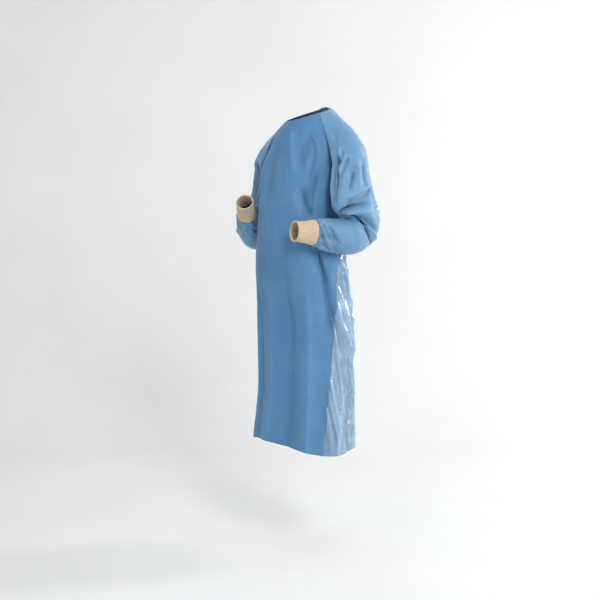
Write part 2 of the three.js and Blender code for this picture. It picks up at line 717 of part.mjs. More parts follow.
// The top of the gown at an angle round the neckline, whichever piece lies there.
function yokePoint(neckAngle, drop) {
  const turned = ((neckAngle + 540) % 360) - 180;
  const { raglanFront, raglanBack } = stations;
  const size = Math.abs(turned);
  const side = Math.sign(turned);
  if (size <= raglanFront.angle) return frontPoint((turned / raglanFront.angle) * 90, drop);
  if (size >= raglanBack.angle) {
    const share = ((neckAngle + 360) % 360 - 180) / (180 - raglanBack.angle);
    return backPoint(180 + share * 90, drop);
  }
  const around = ((size - raglanFront.angle) / (raglanBack.angle - raglanFront.angle)) * 360;
  const name = side > 0 ? "left" : "right";
  return sleevePoint(arms[name], armCurves[name], drop / underarmDrop - 1, around);
}

// A strip with a closed wall, from a grid whose columns run along it.
function stripGeometry(rows, columns, thickness, place, turned = false) {
  const { points, pieces } = joinSheets([makeSheet("strip", rows, columns, turned, place)]);
  const faces = pieces.get("strip");
  return wallGeometry(points, pointNormals(points, pieces), faces, thickness, 0);
}

// The neck binding, one strip from the right panel's edge round the front to the left panel's.
function bindingGeometry() {
  const neckShare = (180 - stations.raglanBack.angle) / 90;
  const over = lap.neckDegrees * neckShare;
  const bandDepth = binding.share * underarmDrop - 2 * seamGap;
  return stripGeometry(range(1), range(cells.binding), binding.wall, (depthShare, share) => {
    const angle = mix(180 - over, 540 + over, share);
    const drop = depthShare * bandDepth;
    const panelAngle = 180 + (angle - 540) / neckShare;
    const lift = angle > 360 ? lapLift(panelAngle, 0) : 0;
    return laidOn(yokePoint, angle, drop, lift + binding.proud);
  });
}

addPiece("neck_binding", bindingGeometry(), materials.front);

// Where the tab comes down from the upper layer of the lap, in degrees past its edge
const lapStep = { from: 2, to: 12 };

// The tab that closes the neck, sewn to the left back panel and pressed on the right one.
function tabGeometry() {
  const turn = neckTab.turnDegrees;
  const [start, end] = [180 + lap.neckDegrees - turn / 2, 180 + lap.neckDegrees + turn / 2];
  return stripGeometry(range(2), range(cells.tab), neckTab.wall, (depthShare, share) => {
    const drop = neckTab.drop + depthShare * neckTab.width;
    const angle = mix(start, end, share);
    const edge = 180 + lapAngle(drop);
    const step = lap.lift * (1 - ease(angle, edge + lapStep.from, edge + lapStep.to));
    return laidOn(backPoint, angle, drop, step + neckTab.clear + neckTab.wall);
  });
}

addPiece("neck_tab", tabGeometry(), materials.tie);

// The angles over which the tie climbs onto the lap and comes down again
const tieOverLap = { up: [110, 140], down: [206, 224] };

// The waist tie's two bands, each from its side to the middle of the back.
function tieGeometry(start, end) {
  return stripGeometry(range(2), range(cells.tie), waistTie.wall, (depthShare, share) => {
    const drop = waistTie.drop + (depthShare - 0.5) * waistTie.width;
    const angle = mix(start, end, share);
    const lift = lap.lift * ease(angle, ...tieOverLap.up) * (1 - ease(angle, ...tieOverLap.down));
    const fromSeam = Math.min(angle, 360 - angle) - waistTie.startDegrees;
    const clear = mix(waistTie.sewn, waistTie.clear, ease(fromSeam, 0, waistTie.risesDegrees));
    return laidOn(backPoint, angle, drop, lift + clear + waistTie.wall);
  });
}

const { startDegrees, endDegrees } = waistTie;
addPiece("waist_tie_left", tieGeometry(startDegrees, endDegrees), materials.tie);
addPiece("waist_tie_right", tieGeometry(360 - endDegrees, 360 - startDegrees), materials.tie);

// A flat strip swept along a line of stations, each with the way its width and its face lie.
function ribbonGeometry(line, width, thickness) {
  const points = [];
  for (const { centre, across, face } of line) {
    for (const [w, f] of [[-1, -1], [1, -1], [1, 1], [-1, 1]]) {
      const corner = centre.clone().addScaledVector(across, (w * width) / 2);
      points.push(corner.addScaledVector(face, (f * thickness) / 2));
    }
  }
  const index = [0, 2, 1, 0, 3, 2];
  for (let i = 0; i + 1 < line.length; i += 1) {
    for (let k = 0; k < 4; k += 1) {
      const [a, b] = [i * 4 + k, i * 4 + ((k + 1) % 4)];
      index.push(a, b, b + 4, a, b + 4, a + 4);
    }
  }
  const last = (line.length - 1) * 4;
  index.push(last, last + 1, last + 2, last, last + 2, last + 3);
  const geometry = new THREE.BufferGeometry().setFromPoints(points);
  geometry.setIndex(index);
  return geometry;
}

function loopLine(knotCentre, side) {
  const curve = new THREE.CatmullRomCurve3(
    bowLoop.map(([s, out, up]) => knotCentre.clone().add(point([s * side, out, up]))),
  );
  return range(bow.loops - 1).map((share) => {
    const along = curve.getTangentAt(share);
    const across = point([0, 0, 1]);
    return { centre: curve.getPointAt(share), across, face: along.clone().cross(across).normalize() };
  });
}

function endLine(end) {
  const { side, length } = end;
  return range(bow.ends - 1).map((share) => {
    const angle = 180 - side * mix(end.startDegrees, end.endDegrees, ease(share, 0, 1));
    const drop = waistTie.drop + bow.endDrop + share * length;
    const stand = lap.lift + bow.standOff + bow.endWave * Math.sin(share * bow.endWaveTurn + side);
    const centre = laidOn(backPoint, angle, drop, stand);
    const below = laidOn(backPoint, angle, drop + 1, stand);
    const along = below.sub(centre).normalize();
    const across = point([side, 0, 0]).projectOnPlane(along).normalize();
    return { centre, across, face: along.clone().cross(across) };
  });
}

// The knot with its two loops and two ends, as one tied piece.
const solids = await Module();
solids.setup();

function solidOf(geometry) {
  const mesh = new solids.Mesh({
    numProp: 3,
    vertProperties: new Float32Array(geometry.attributes.position.array),
    triVerts: new Uint32Array(geometry.index.array),
  });
  mesh.merge();
  return new solids.Manifold(mesh);
}

function bowGeometry() {
  const stand = lap.lift + waistTie.clear + waistTie.wall + bow.knot[1] + bow.gap;
  const knotCentre = laidOn(backPoint, 180, waistTie.drop, stand);
  const knot = solids.Manifold.sphere(1, 16).scale(bow.knot).translate(knotCentre.toArray());
  const lines = [...[1, -1].map((side) => loopLine(knotCentre, side)), ...bowEnds.map(endLine)];
  const strips = lines.map((line) => solidOf(ribbonGeometry(line, bow.width, bow.wall)));
  const tied = solids.Manifold.union([knot, ...strips]).getMesh();
  const geometry = new THREE.BufferGeometry();
  geometry.setAttribute("position", new THREE.BufferAttribute(tied.vertProperties, 3));
  geometry.setIndex([...tied.triVerts]);
  geometry.computeVertexNormals();
  return geometry;
}

addPiece("waist_bow", bowGeometry(), materials.tie);

export default gown;
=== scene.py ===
"""The look of a worn surgical gown: fine folded cloth over the part's own solids, knitted cuffs,
seams and stitches, with a plain studio. Metres, in the part's own frame."""

import math

import bpy
import numpy as np
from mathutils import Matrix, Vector


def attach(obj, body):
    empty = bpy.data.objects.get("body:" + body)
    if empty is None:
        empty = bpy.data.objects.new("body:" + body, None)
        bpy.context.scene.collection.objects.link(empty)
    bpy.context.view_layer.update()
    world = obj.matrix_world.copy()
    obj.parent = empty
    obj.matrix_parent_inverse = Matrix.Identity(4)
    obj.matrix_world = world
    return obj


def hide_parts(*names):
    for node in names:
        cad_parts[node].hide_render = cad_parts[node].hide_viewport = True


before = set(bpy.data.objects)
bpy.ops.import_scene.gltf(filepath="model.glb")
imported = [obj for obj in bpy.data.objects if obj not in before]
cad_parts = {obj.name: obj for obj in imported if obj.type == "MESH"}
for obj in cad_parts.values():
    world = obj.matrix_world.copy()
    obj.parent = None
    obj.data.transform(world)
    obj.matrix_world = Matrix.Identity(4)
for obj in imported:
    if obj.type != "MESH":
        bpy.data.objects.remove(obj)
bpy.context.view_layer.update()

# Camera, light and stage
CAMERA_AZIMUTH = math.radians(45)
CAMERA_DISTANCE = 3.7
CAMERA_HEIGHT = -0.400
MM_PER_PIXEL = 3.4
IMAGE_PIXELS = 600
CENTRE_PIXEL_X = 304
HORIZON_PIXEL_Y = 225
SENSOR_MM = 36
FLOOR_Z = -1.51

pitch = math.atan((IMAGE_PIXELS / 2 - HORIZON_PIXEL_Y) * MM_PER_PIXEL / (CAMERA_DISTANCE * 1000))
camera_data = bpy.data.cameras.new("camera")
camera_data.lens = SENSOR_MM * CAMERA_DISTANCE * 1000 / (IMAGE_PIXELS * MM_PER_PIXEL)
camera_data.sensor_width = SENSOR_MM
camera_data.shift_x = -(CENTRE_PIXEL_X - IMAGE_PIXELS / 2) / IMAGE_PIXELS
camera = bpy.data.objects.new("camera", camera_data)
bpy.context.scene.collection.objects.link(camera)
camera.location = (
    CAMERA_DISTANCE * math.sin(CAMERA_AZIMUTH),
    -CAMERA_DISTANCE * math.cos(CAMERA_AZIMUTH),
    CAMERA_HEIGHT,
)
camera.rotation_euler = (math.pi / 2 - pitch, 0, CAMERA_AZIMUTH)
bpy.context.scene.camera = camera
bpy.context.scene.view_settings.view_transform = "Standard"


def area_light(name, place, target, size, power):
    data = bpy.data.lights.new(name, "AREA")
    data.shape = "RECTANGLE"
    data.size, data.size_y = size
    data.energy = power
    light = bpy.data.objects.new(name, data)
    light.location = place
    light.rotation_euler = (Vector(target) - Vector(place)).to_track_quat("-Z", "Y").to_euler()
    bpy.context.scene.collection.objects.link(light)


area_light("key", (3.3, -1.5, 1.4), (0, 0, -0.5), (1.0, 1.4), 74)
area_light("rim", (1.7, 3.1, 0.6), (0, 0, -0.6), (0.7, 2.4), 85)
area_light("strip", (3.4, 0.9, -0.5), (0, 0, -0.6), (0.25, 2.2), 15)
area_light("top", (0.5, -0.3, 1.9), (0, 0, -0.4), (1.4, 1.4), 9)
area_light("fill", (-1.6, -3.6, 0.6), (0, 0, -0.5), (2.2, 2.2), 26)

world = bpy.data.worlds.new("studio")
bpy.context.scene.world = world
world.use_nodes = True
sky = world.node_tree.nodes["Background"]
sky.inputs["Color"].default_value = (0.93, 0.96, 1.0, 1)
sky.inputs["Strength"].default_value = 0.5


def new_mesh_object(name, vertices, faces, material, uvs=None):
    mesh = bpy.data.meshes.new(name)
    mesh.from_pydata(np.asarray(vertices).tolist(), [], [tuple(int(i) for i in f) for f in faces])
    mesh.update()
    if uvs is not None:
        layer = mesh.uv_layers.new(name="cloth")
        loop_vertices = np.empty(len(mesh.loops), dtype=np.int64)
        mesh.loops.foreach_get("vertex_index", loop_vertices)
        layer.data.foreach_set("uv", np.asarray(uvs)[loop_vertices].astype(np.float32).ravel())
    mesh.shade_smooth()
    mesh.materials.append(material)
    made = bpy.data.objects.new(name, mesh)
    bpy.context.scene.collection.objects.link(made)
    return made


# Materials
SHEEN_ROUGHNESS, COAT_ROUGHNESS = 0.35, 0.14


def linear(hex_colour):
    values = [int(hex_colour[i : i + 2], 16) / 255 for i in (0, 2, 4)]
    return [v / 12.92 if v <= 0.04045 else ((v + 0.055) / 1.055) ** 2.4 for v in values] + [1]


def material(
    name, tones, roughness, bump, scales=(7, 700, 42), sheen=0, coat=0, specular=0.4, painted_shading_strength=0, knit=False
):
    """A woven or bonded cloth: two tones mixed by noise, painted shade in its creases and painted highlight
    on its crests, uneven roughness and a fine bumped weave.
    """
    made = bpy.data.materials.new(name)
    made.use_nodes = True
    nodes, links = made.node_tree.nodes, made.node_tree.links

    def add(kind, source, socket="Vector", **values):
        """A node with its plain inputs set and one input linked to a source."""
        node = nodes.new("ShaderNode" + kind)
        for key, value in values.items():
            node.inputs[key.replace("_", " ")].default_value = value
        links.new(source, node.inputs[socket])
        return node

    shader = nodes["Principled BSDF"]
    for socket, value in (
        ("Specular IOR Level", specular),
        ("Sheen Weight", sheen),
        ("Sheen Roughness", SHEEN_ROUGHNESS),
        ("Coat Weight", coat),
        ("Coat Roughness", COAT_ROUGHNESS),
    ):
        shader.inputs[socket].default_value = value
    place = nodes.new("ShaderNodeTexCoord")
    blotch = add("TexNoise", place.outputs["Object"], Scale=scales[0], Detail=6, Roughness=0.6)
    tone = add("ValToRGB", blotch.outputs["Fac"], "Fac")
    low, high = tone.color_ramp.elements
    low.position, high.position = 0.3, 0.7
    low.color, high.color = linear(tones[0]), linear(tones[1])
    # Painted shade and highlight: the colour is darkened deep in a fold and lightened on its crest, as the
    # fold attribute says.
    fold = nodes.new("ShaderNodeAttribute")
    fold.attribute_name = "fold"
    depth = add("MapRange", fold.outputs["Fac"], "Value", From_Min=-1, To_Min=1 - painted_shading_strength, To_Max=1 + painted_shading_strength)
    shade = add("HueSaturation", depth.outputs["Result"], "Value")
    links.new(tone.outputs["Color"], shade.inputs["Color"])
    links.new(shade.outputs["Color"], shader.inputs["Base Color"])
    rough = add("MapRange", blotch.outputs["Fac"], "Value", To_Min=roughness[0], To_Max=roughness[1])
    links.new(rough.outputs["Result"], shader.inputs["Roughness"])
    if knit:
        rows = add("TexWave", place.outputs["UV"], Scale=scales[1], Distortion=1.5)
        rows.wave_type = "BANDS"
        rows.bands_direction = "Y"
        height = rows.outputs["Fac"]
    else:
        height = add("TexVoronoi", place.outputs["UV"], Scale=scales[1]).outputs["Distance"]
    crinkle = add("TexNoise", place.outputs["Object"], Scale=scales[2], Detail=4, Distortion=0.6)
    fine_bump = add("Bump", height, "Height", Strength=bump[0], Distance=0.0004)
    soft_bump = add("Bump", crinkle.outputs["Fac"], "Height", Strength=bump[1], Distance=0.002)
    links.new(fine_bump.outputs["Normal"], soft_bump.inputs["Normal"])
    links.new(soft_bump.outputs["Normal"], shader.inputs["Normal"])
    return made


front_cloth = material(
    "front_cloth", ("4a7ba4", "5587b1"), (0.58, 0.74), (0.25, 0.3), sheen=0.1, painted_shading_strength=0.45
)
sleeve_cloth = material(
    "sleeve_cloth", ("5b8aae", "6894b8"), (0.42, 0.58), (0.25, 0.35), sheen=0.5, painted_shading_strength=0.7
)
back_cloth = material(
    "back_cloth", ("6283a4", "7d9cb7"), (0.16, 0.28), (0.2, 0.6), (9, 700, 60),
    sheen=0.1, coat=0.9, specular=0.9, painted_shading_strength=0.65,
)
trim_cloth = material("trim_cloth", ("4f7fab", "5889b4"), (0.58, 0.74), (0.25, 0.2), sheen=0.2)
knit_cloth = material(
    "knit_cloth", ("cbb795", "dac8aa"), (0.85, 0.95), (1.0, 0.3), (30, 130, 120), sheen=0.35, knit=True
)
thread = material("thread", ("6b94ba", "7ba2c6"), (0.55, 0.65), (0.1, 0.1), (40, 900, 300), sheen=0.1)
floor_paint = material(
    "floor_paint", ("e6e6e5", "ececeb"), (0.71, 0.79), (0.0, 0.02), (1.2, 60, 4), specular=0.2
)


def build_stage():
    """A pale floor that curves up into the backdrop behind the gown, square to the camera."""
    depth, width, radius, height = 2.6, 12.0, 1.2, 6.0
    profile = [(-7.0, 0.0), (-3.0, 0.0), (0.0, 0.0), (depth - radius, 0.0)]
    profile += [
        (depth - radius + radius * math.sin(a), radius - radius * math.cos(a))
        for a in np.linspace(0, math.pi / 2, 13)[1:]
    ]
    profile.append((depth, height))
    back = Vector((-math.sin(CAMERA_AZIMUTH), math.cos(CAMERA_AZIMUTH), 0))
    side = Vector((math.cos(CAMERA_AZIMUTH), math.sin(CAMERA_AZIMUTH), 0))
    vertices, faces = [], []
    for away, up in profile:
        for s in (-width / 2, width / 2):
            vertices.append(back * away + side * s + Vector((0, 0, FLOOR_Z + up)))
    for i in range(len(profile) - 1):
        faces.append((2 * i, 2 * i + 1, 2 * i + 3, 2 * i + 2))
    new_mesh_object("stage_floor", [tuple(v) for v in vertices], faces, floor_paint)


build_stage()

# The gown's cut and pose, in millimetres, as in the part
UNDERARM = 212.0
LENGTH = 1159.0
TILT = 0.09
NECK = dict(half_width=76, half_depth=72, centre_y=20, drop=28, dip=24)
BAND_SHARE = 0.045
HEM_RISE, HEM_LOWEST = 29, 70
LAP_NECK, LAP_HEM, LAP_LIFT, LAP_RISE = 17, 32, 5.5, 26
BODY = np.array(
    [
        # drop, half width, front, back, middle, square, seam angle
        (212, 150, 124, 112, 18, 2.3, 90),
        (330, 146, 148, 100, 14, 2.3, 94),
        (430, 147, 156, 95, 6, 2.3, 98),
        (500, 161, 152, 101, 0, 2.3, 93),
        (580, 173, 141, 112, 0, 2.3, 84),
        (700, 181, 121, 121, 0, 2.3, 77),
        (850, 180, 109, 128, 0, 2.3, 69),
        (1000, 183, 110, 128, 0, 2.3, 62),
        (LENGTH, 196, 127, 106, 0, 2.3, 56),
    ],
    float,
)
STATIONS = {
    "centre_front": (0, (0, -26, -44), (0, 10, 62)),
    "raglan_front": (72, (38, -32, -27), (20, -66, 54)),
    "shoulder": (98, (51, 0, -22), (2, -6, 66)),
    "raglan_back": (127, (30, 34, -12), (18, 54, 58)),
    "centre_back": (180, (0, 30, -18), (0, 6, 78)),
}
PULL_NECK, PULL_UNDERARM = 1.6, 6
ARMS = {
    "left": dict(
        side=1, elbow=(222, 58, -436), wrist=(146, -190, -420), across=50, fore=58, loose=1, end=31
    ),
    "right": dict(
        side=-1, elbow=(-254, 4, -452), wrist=(-136, -148, -322), across=46, fore=56, loose=-0.2, end=28
    ),
}
ELBOW_BEND = 94
CUFF_LENGTH = 70
SLEEVE = np.array(
    [
        # along, inner, outer, front, rear, sag
        (0, 1, 1, 1.05, 1, 0),
        (0.15, 1.06, 0.98, 1.5, 1, 0),
        (0.3, 1.04, 0.98, 1.92, 1.06, 0),
        (0.36, 0.99, 0.99, 1.9, 1.16, 1),
        (0.43, 0.94, 1, 1.44, 1.28, 2),
        (0.52, 0.84, 1, 1.02, 1.38, 3),
        (0.64, 0.78, 1.02, 1.03, 1.18, 4),
        (0.8, 0.8, 1.05, 0.92, 1, 4),
        (0.93, 0.8, 0.96, 0.82, 0.88, 1),
        (1, 0.76, 0.76, 0.68, 0.7, 0),
    ],
    float,
)
GATHERS, GATHER_DEPTH, GATHER_FROM = 9, 2.6, 0.8


def read_table(table, key):
    key = np.asarray(key, float)
    last = len(table) - 1
    low = np.clip(np.searchsorted(table[:, 0], key, side="left") - 1, 0, last - 1)
    a, b = table[low], table[low + 1]
    before, after = table[np.maximum(low - 1, 0)], table[np.minimum(low + 2, last)]
    span = (b[..., 0] - a[..., 0])[..., None]
    t = np.minimum(1, (key - a[..., 0])[..., None] / span)
    slope_a = (b - before) / (b[..., :1] - before[..., :1])
    slope_b = (after - a) / (after[..., :1] - a[..., :1])
    return (
        a * (2 * t**3 - 3 * t**2 + 1)
        + b * (3 * t**2 - 2 * t**3)
        + slope_a * span * (t**3 - 2 * t**2 + t)
        + slope_b * span * (t**3 - t**2)
    )


def ease(x, low, high):
    t = np.clip((np.asarray(x, float) - low) / (high - low), 0, 1)
    return t * t * (3 - 2 * t)


def unit(v):
    return v / np.maximum(np.linalg.norm(v, axis=-1, keepdims=True), 1e-12)


def stack(x, y, z):
    return np.stack(np.broadcast_arrays(x, y, z), axis=-1)


def alike(a, b):
    """Two arrays of one shape."""
    return np.broadcast_arrays(np.asarray(a, float), np.asarray(b, float))


def sin_cos(angle):
    return np.sin(np.radians(angle)), np.cos(np.radians(angle))


def lengths(line):
    """The length along a line up to each of its points."""
    return np.concatenate([[0], np.cumsum(np.linalg.norm(np.diff(line, axis=0), axis=1))])


def points_at(at, length, line):
    return np.stack([np.interp(at, length, line[:, i]) for i in range(3)], axis=-1)


def neck_point(angle):
    s, c = sin_cos(angle)
    x = NECK["half_width"] * s
    return stack(x, NECK["centre_y"] - NECK["half_depth"] * c, -NECK["drop"] - NECK["dip"] * c + TILT * x)


def body_point(angle, drop):
    angle, drop = alike(angle, drop)
    row = read_table(BODY, drop)
    s, c = sin_cos(angle)
    power = 2 / row[..., 5]
    x = row[..., 1] * np.sign(s) * np.abs(s) ** power
    depth = np.where(c > 0, row[..., 2] + row[..., 4], row[..., 3] - row[..., 4])
    y = row[..., 4] - depth * np.sign(c) * np.abs(c) ** power
    share = np.maximum(0, (drop - UNDERARM) / (LENGTH - UNDERARM))
    rise = HEM_RISE * share * (1 - np.cos(2 * np.radians(angle - HEM_LOWEST))) * 0.5
    tilt = TILT * x * (1 - ease(drop, UNDERARM, UNDERARM + 250))
    return stack(x, y, -drop + rise + tilt)


def meridian(neck, end, lead, lift, t):
    t = np.asarray(t, float)[..., None]
    return (
        neck * (1 - t) ** 3
        + (neck + lead) * 3 * t * (1 - t) ** 2
        + (end + lift) * 3 * t**2 * (1 - t)
        + end * t**3
    )


def between(a, b, lead_share, lift_share, side):
    side = np.asarray(side, float)
    turn = stack(side, np.ones_like(side), np.ones_like(side))
    lead_share, lift_share = np.asarray(lead_share)[..., None], np.asarray(lift_share)[..., None]
    lead = np.array(STATIONS[a][1]) * (1 - lead_share) + np.array(STATIONS[b][1]) * lead_share
    lift = np.array(STATIONS[a][2]) * (1 - lift_share) + np.array(STATIONS[b][2]) * lift_share
    return lead * turn, lift * turn


def half_point(angle, drop, middle, stations, turn):
    """A point of the front or back panel, whose middle lies at an angle round the body."""
    angle, drop = alike(angle, drop)
    share = (angle - middle) / 90
    size = np.minimum(np.abs(share), 1)
    lead, lift = between(*stations, size**PULL_NECK, size**PULL_UNDERARM, turn * np.sign(share))
    neck = neck_point(middle + share * abs(STATIONS[stations[1]][0] - middle))
    underarm = body_point(middle + share * 90, UNDERARM)
    upper = meridian(neck, underarm, lead, lift, np.minimum(drop / UNDERARM, 1))
    return np.where((drop < UNDERARM)[..., None], upper, body_point(angle, np.maximum(drop, UNDERARM)))


def front_point(angle, drop):
    return half_point(angle, drop, 0, ("centre_front", "raglan_front"), 1)


def back_point(angle, drop):
    return half_point(angle, drop, 180, ("centre_back", "raglan_back"), -1)


def panel_point(angle, drop):
    inside = (np.abs(np.asarray(angle, float)) < 90)[..., None]
    return np.where(inside, front_point(np.clip(angle, -90, 90), drop), back_point(angle, drop))


def project(v, normal):
    return v - np.sum(v * normal, axis=-1, keepdims=True) * normal


class Arm:
    def __init__(self, side, elbow, wrist, across, fore, loose, end):
        self.side, self.across, self.fore, self.loose, self.end = side, across, fore, loose, end
        elbow, wrist = np.array(elbow, float), np.array(wrist, float)
        underarm = body_point(90 * side, UNDERARM)
        self.axis = unit(elbow - (underarm + np.array([side * across, 0, 0])))
        self.inward = unit(project(np.array([-side, 0, 0], float), self.axis))
        self.front = np.cross(self.inward, self.axis) * side
        centre = underarm - self.inward * across
        self.forearm = unit(wrist - elbow)
        self.seam = wrist - self.forearm * CUFF_LENGTH
        start, end = elbow - self.axis * ELBOW_BEND, elbow + self.forearm * ELBOW_BEND
        t = np.linspace(0, 1, 201)[:, None]
        bend = start * (1 - t) ** 2 + elbow * 2 * t * (1 - t) + end * t**2
        turned = unit((elbow - start) * (1 - t) + (end - elbow) * t)
        n = 40
        line_a = centre + (start - centre) * np.linspace(0, 1, n)[:-1, None]
        line_b = end + (self.seam - end) * np.linspace(0, 1, n)[1:, None]
        self.line = np.vstack([line_a, bend, line_b])
        self.tangents = np.vstack(
            [np.tile(self.axis, (n - 1, 1)), turned, np.tile(self.forearm, (n - 1, 1))]
        )
        self.length = lengths(self.line)

    def frame(self, along):
        at = np.clip(np.asarray(along, float), 0, 1) * self.length[-1]
        centre = points_at(at, self.length, self.line)
        tangent = unit(points_at(at, self.length, self.tangents))
        # The shortest turn from the arm's own axis to the tangent, applied to both directions.
        cross = np.cross(np.broadcast_to(self.axis, tangent.shape), tangent)
        cos = np.sum(tangent * self.axis, axis=-1, keepdims=True)

        def turn(v):
            v = np.broadcast_to(v, tangent.shape)
            dot = np.sum(cross * v, axis=-1, keepdims=True)
            return v * cos + np.cross(cross, v) + cross * dot / (1 + cos)

        return centre, turn(self.inward), turn(self.front)

    def tube(self, along, angle):
        along, angle = alike(along, angle)
        row = read_table(SLEEVE, along)
        centre, inward, front = self.frame(along)
        s, c = sin_cos(angle)
        wave = ease(along, GATHER_FROM, 0.97) * GATHER_DEPTH * np.cos(np.radians(angle * GATHERS + 50 * s))
        across = self.across * np.where(c > 0, row[..., 1], row[..., 2]) + wave
        loose = 1 + (row[..., 3] - 1) * np.where(row[..., 3] > 1, self.loose, 1)
        fore = self.fore * np.where(s > 0, loose, row[..., 4]) + wave
        place = centre + inward * (across * c)[..., None] + front * (fore * s)[..., None]
        place[..., 2] -= row[..., 5]
        return place

    def point(self, along, angle):
        along, angle = alike(along, angle)
        share = angle / 360
        from_seam = np.minimum(angle, 360 - angle)
        near_front = share < 0.5
        pull, lift_pull = ease(from_seam, 0, 180) ** 0.8, ease(from_seam, 0, 96)
        side = np.full_like(share, self.side)
        lead_f, lift_f = between("raglan_front", "shoulder", pull, lift_pull, side)
        lead_b, lift_b = between("raglan_back", "shoulder", pull, lift_pull, side)
        lead = np.where(near_front[..., None], lead_f, lead_b)
        lift = np.where(near_front[..., None], lift_f, lift_b)
        span = STATIONS["raglan_back"][0] - STATIONS["raglan_front"][0]
        neck = neck_point(self.side * (STATIONS["raglan_front"][0] + span * share))
        upper = meridian(neck, self.tube(np.zeros_like(share), angle), lead, lift, np.clip(1 + along, 0, 1))
        return np.where((along < 0)[..., None], upper, self.tube(np.maximum(along, 0), angle))


arms = {name: Arm(**facts) for name, facts in ARMS.items()}

# Folds as in the part: the coordinates of the start, those of the end, width and height
BODY_FOLDS = [
    (12, 50, 24, 250, 18, 5),
    (-12, 80, -8, 330, 24, -5),
    (26, 240, 56, 70, 16, -6),
    (38, 280, 58, 390, 16, -7),
    (28, 290, 46, 430, 18, 4),
    (58, 230, 50, 350, 16, -5),
    (-34, 130, -26, 380, 24, 4),
    (41, 470, 31, 1480, 26, 9),
    (14, 480, 7, 1480, 28, -7),
    (-9, 480, -17, 1480, 30, 6),
    (-35, 500, -38, 1480, 28, -6),
    (-56, 600, -58, 1480, 28, 5),
    (63, 440, 72, 780, 14, -10),
    (51, 480, 52, 820, 18, 4),
    (78, 600, 120, 880, 18, 8),
    (98, 520, 112, 760, 20, 6),
    (105, 506, 130, 680, 16, -6),
    (65, 860, 86, 1480, 16, 7),
    (92, 880, 104, 1480, 20, -7),
    (112, 880, 122, 1480, 22, 7),
    (134, 486, 146, 1480, 26, -6),
    (160, 486, 164, 1480, 26, 6),
    (196, 486, 192, 1000, 26, -5),
    (222, 486, 212, 1480, 26, 6),
    (244, 486, 232, 1480, 24, -7),
    (262, 486, 256, 1480, 24, 6),
    (284, 480, 290, 1480, 26, -6),
    (124, 250, 116, 460, 20, 5),
    (148, 200, 142, 460, 22, -5),
    (170, 220, 172, 460, 22, 4),
    (206, 230, 204, 460, 22, -4),
    (232, 240, 240, 460, 20, 5),
]
LEFT_FOLDS = [
    (-0.3, 64, 0.32, 62, 12, 6),
    (-0.16, 92, 0.36, 84, 11, -8),
    (-0.32, 108, 0.14, 98, 11, 6),
    (0.02, 154, 0.26, 136, 13, -5),
    (-0.05, 186, 0.27, 172, 15, -4),
    (0.2, 202, 0.31, 128, 14, 5),
    (0.24, 214, 0.37, 110, 12, -7),
    (0.39, 92, 0.35, 184, 11, -9),
    (0.425, 92, 0.42, 196, 12, 7),
    (0.44, 76, 0.54, 220, 11, -10),
    (0.535, 150, 0.557, 256, 8, 5),
    (0.565, 150, 0.6, 266, 10, -4),
    (0.62, 120, 0.66, 226, 15, 2),
    (0.96, 126, 0.8, 222, 11, -4),
    (0.9, 200, 0.72, 268, 12, -4),
    (0.1, 300, 0.4, 270, 18, -5),
    (-0.4, 290, 0.14, 312, 14, 5),
]
RIGHT_FOLDS = [
    (-0.3, 62, 0.3, 60, 12, 5),
    (-0.18, 88, 0.3, 80, 11, -6),
    (-0.1, 150, 0.3, 124, 15, -4),
    (0.18, 218, 0.33, 128, 14, -5),
    (0.39, 84, 0.36, 186, 11, -8),
    (0.43, 90, 0.43, 200, 12, 6),
    (0.46, 80, 0.54, 220, 11, -8),
    (0.56, 140, 0.6, 256, 12, -5),
    (0.66, 110, 0.78, 200, 14, 5),
    (0.94, 120, 0.78, 226, 11, -4),
    (0.1, 300, 0.4, 270, 18, -5),
    (-0.4, 290, 0.14, 312, 14, 5),
]

# Sharp creases as the photo shows them: the points of a line on the surface, width, height
BODY_PINCHES = [
    (((30, 190), (36, 140), (50, 92)), 9, -4),
    (((14, 60), (17, 120), (21, 192)), 14, 3),
    (((54, 110), (55, 168), (51, 228), (50, 290)), 5, -5),
    (((60, 250), (57, 300), (55, 350), (56, 384)), 5, -6),
    (((42, 304), (47, 330), (54, 362), (58, 386)), 7, -5),
    (((63, 480), (66, 520), (68, 560), (71, 640)), 4.5, -8),
    (((56, 474), (58, 520), (59, 580)), 6, -4),
    (((78, 640), (86, 720), (100, 790), (118, 850)), 8, 11),
    (((84, 600), (92, 680), (104, 730), (112, 770)), 4, 7),
    (((72, 660), (80, 760), (94, 850)), 6, -5),
    (((66, 900), (76, 1014), (83, 1120)), 7, 12),
    (((60, 990), (65, 1070), (69, 1170)), 5, 10),
    (((62, 930), (68, 1010), (76, 1090), (78, 1160)), 4, 8),
    (((72, 700), (78, 790), (84, 900)), 6, 5),
    (((110, 700), (112, 860), (116, 1040)), 9, 10),
    (((66, 1000), (72, 1080), (76, 1150)), 5, -5),
    (((98, 508), (100, 626), (112, 700)), 7, 7),
    (((104, 506), (112, 545), (124, 600)), 5, -8),
    (((84, 900), (92, 990), (98, 1100)), 7, 6),
    (((100, 840), (108, 940), (112, 1060)), 6, -6),
    (((-62, 130), (-50, 180), (-44, 240)), 7, -4),
    (((-58, 260), (-48, 330), (-44, 400)), 7, -5),
    (((150, 120), (162, 180), (166, 240)), 8, -4),
    (((214, 130), (204, 190), (200, 260)), 8, -4),
]
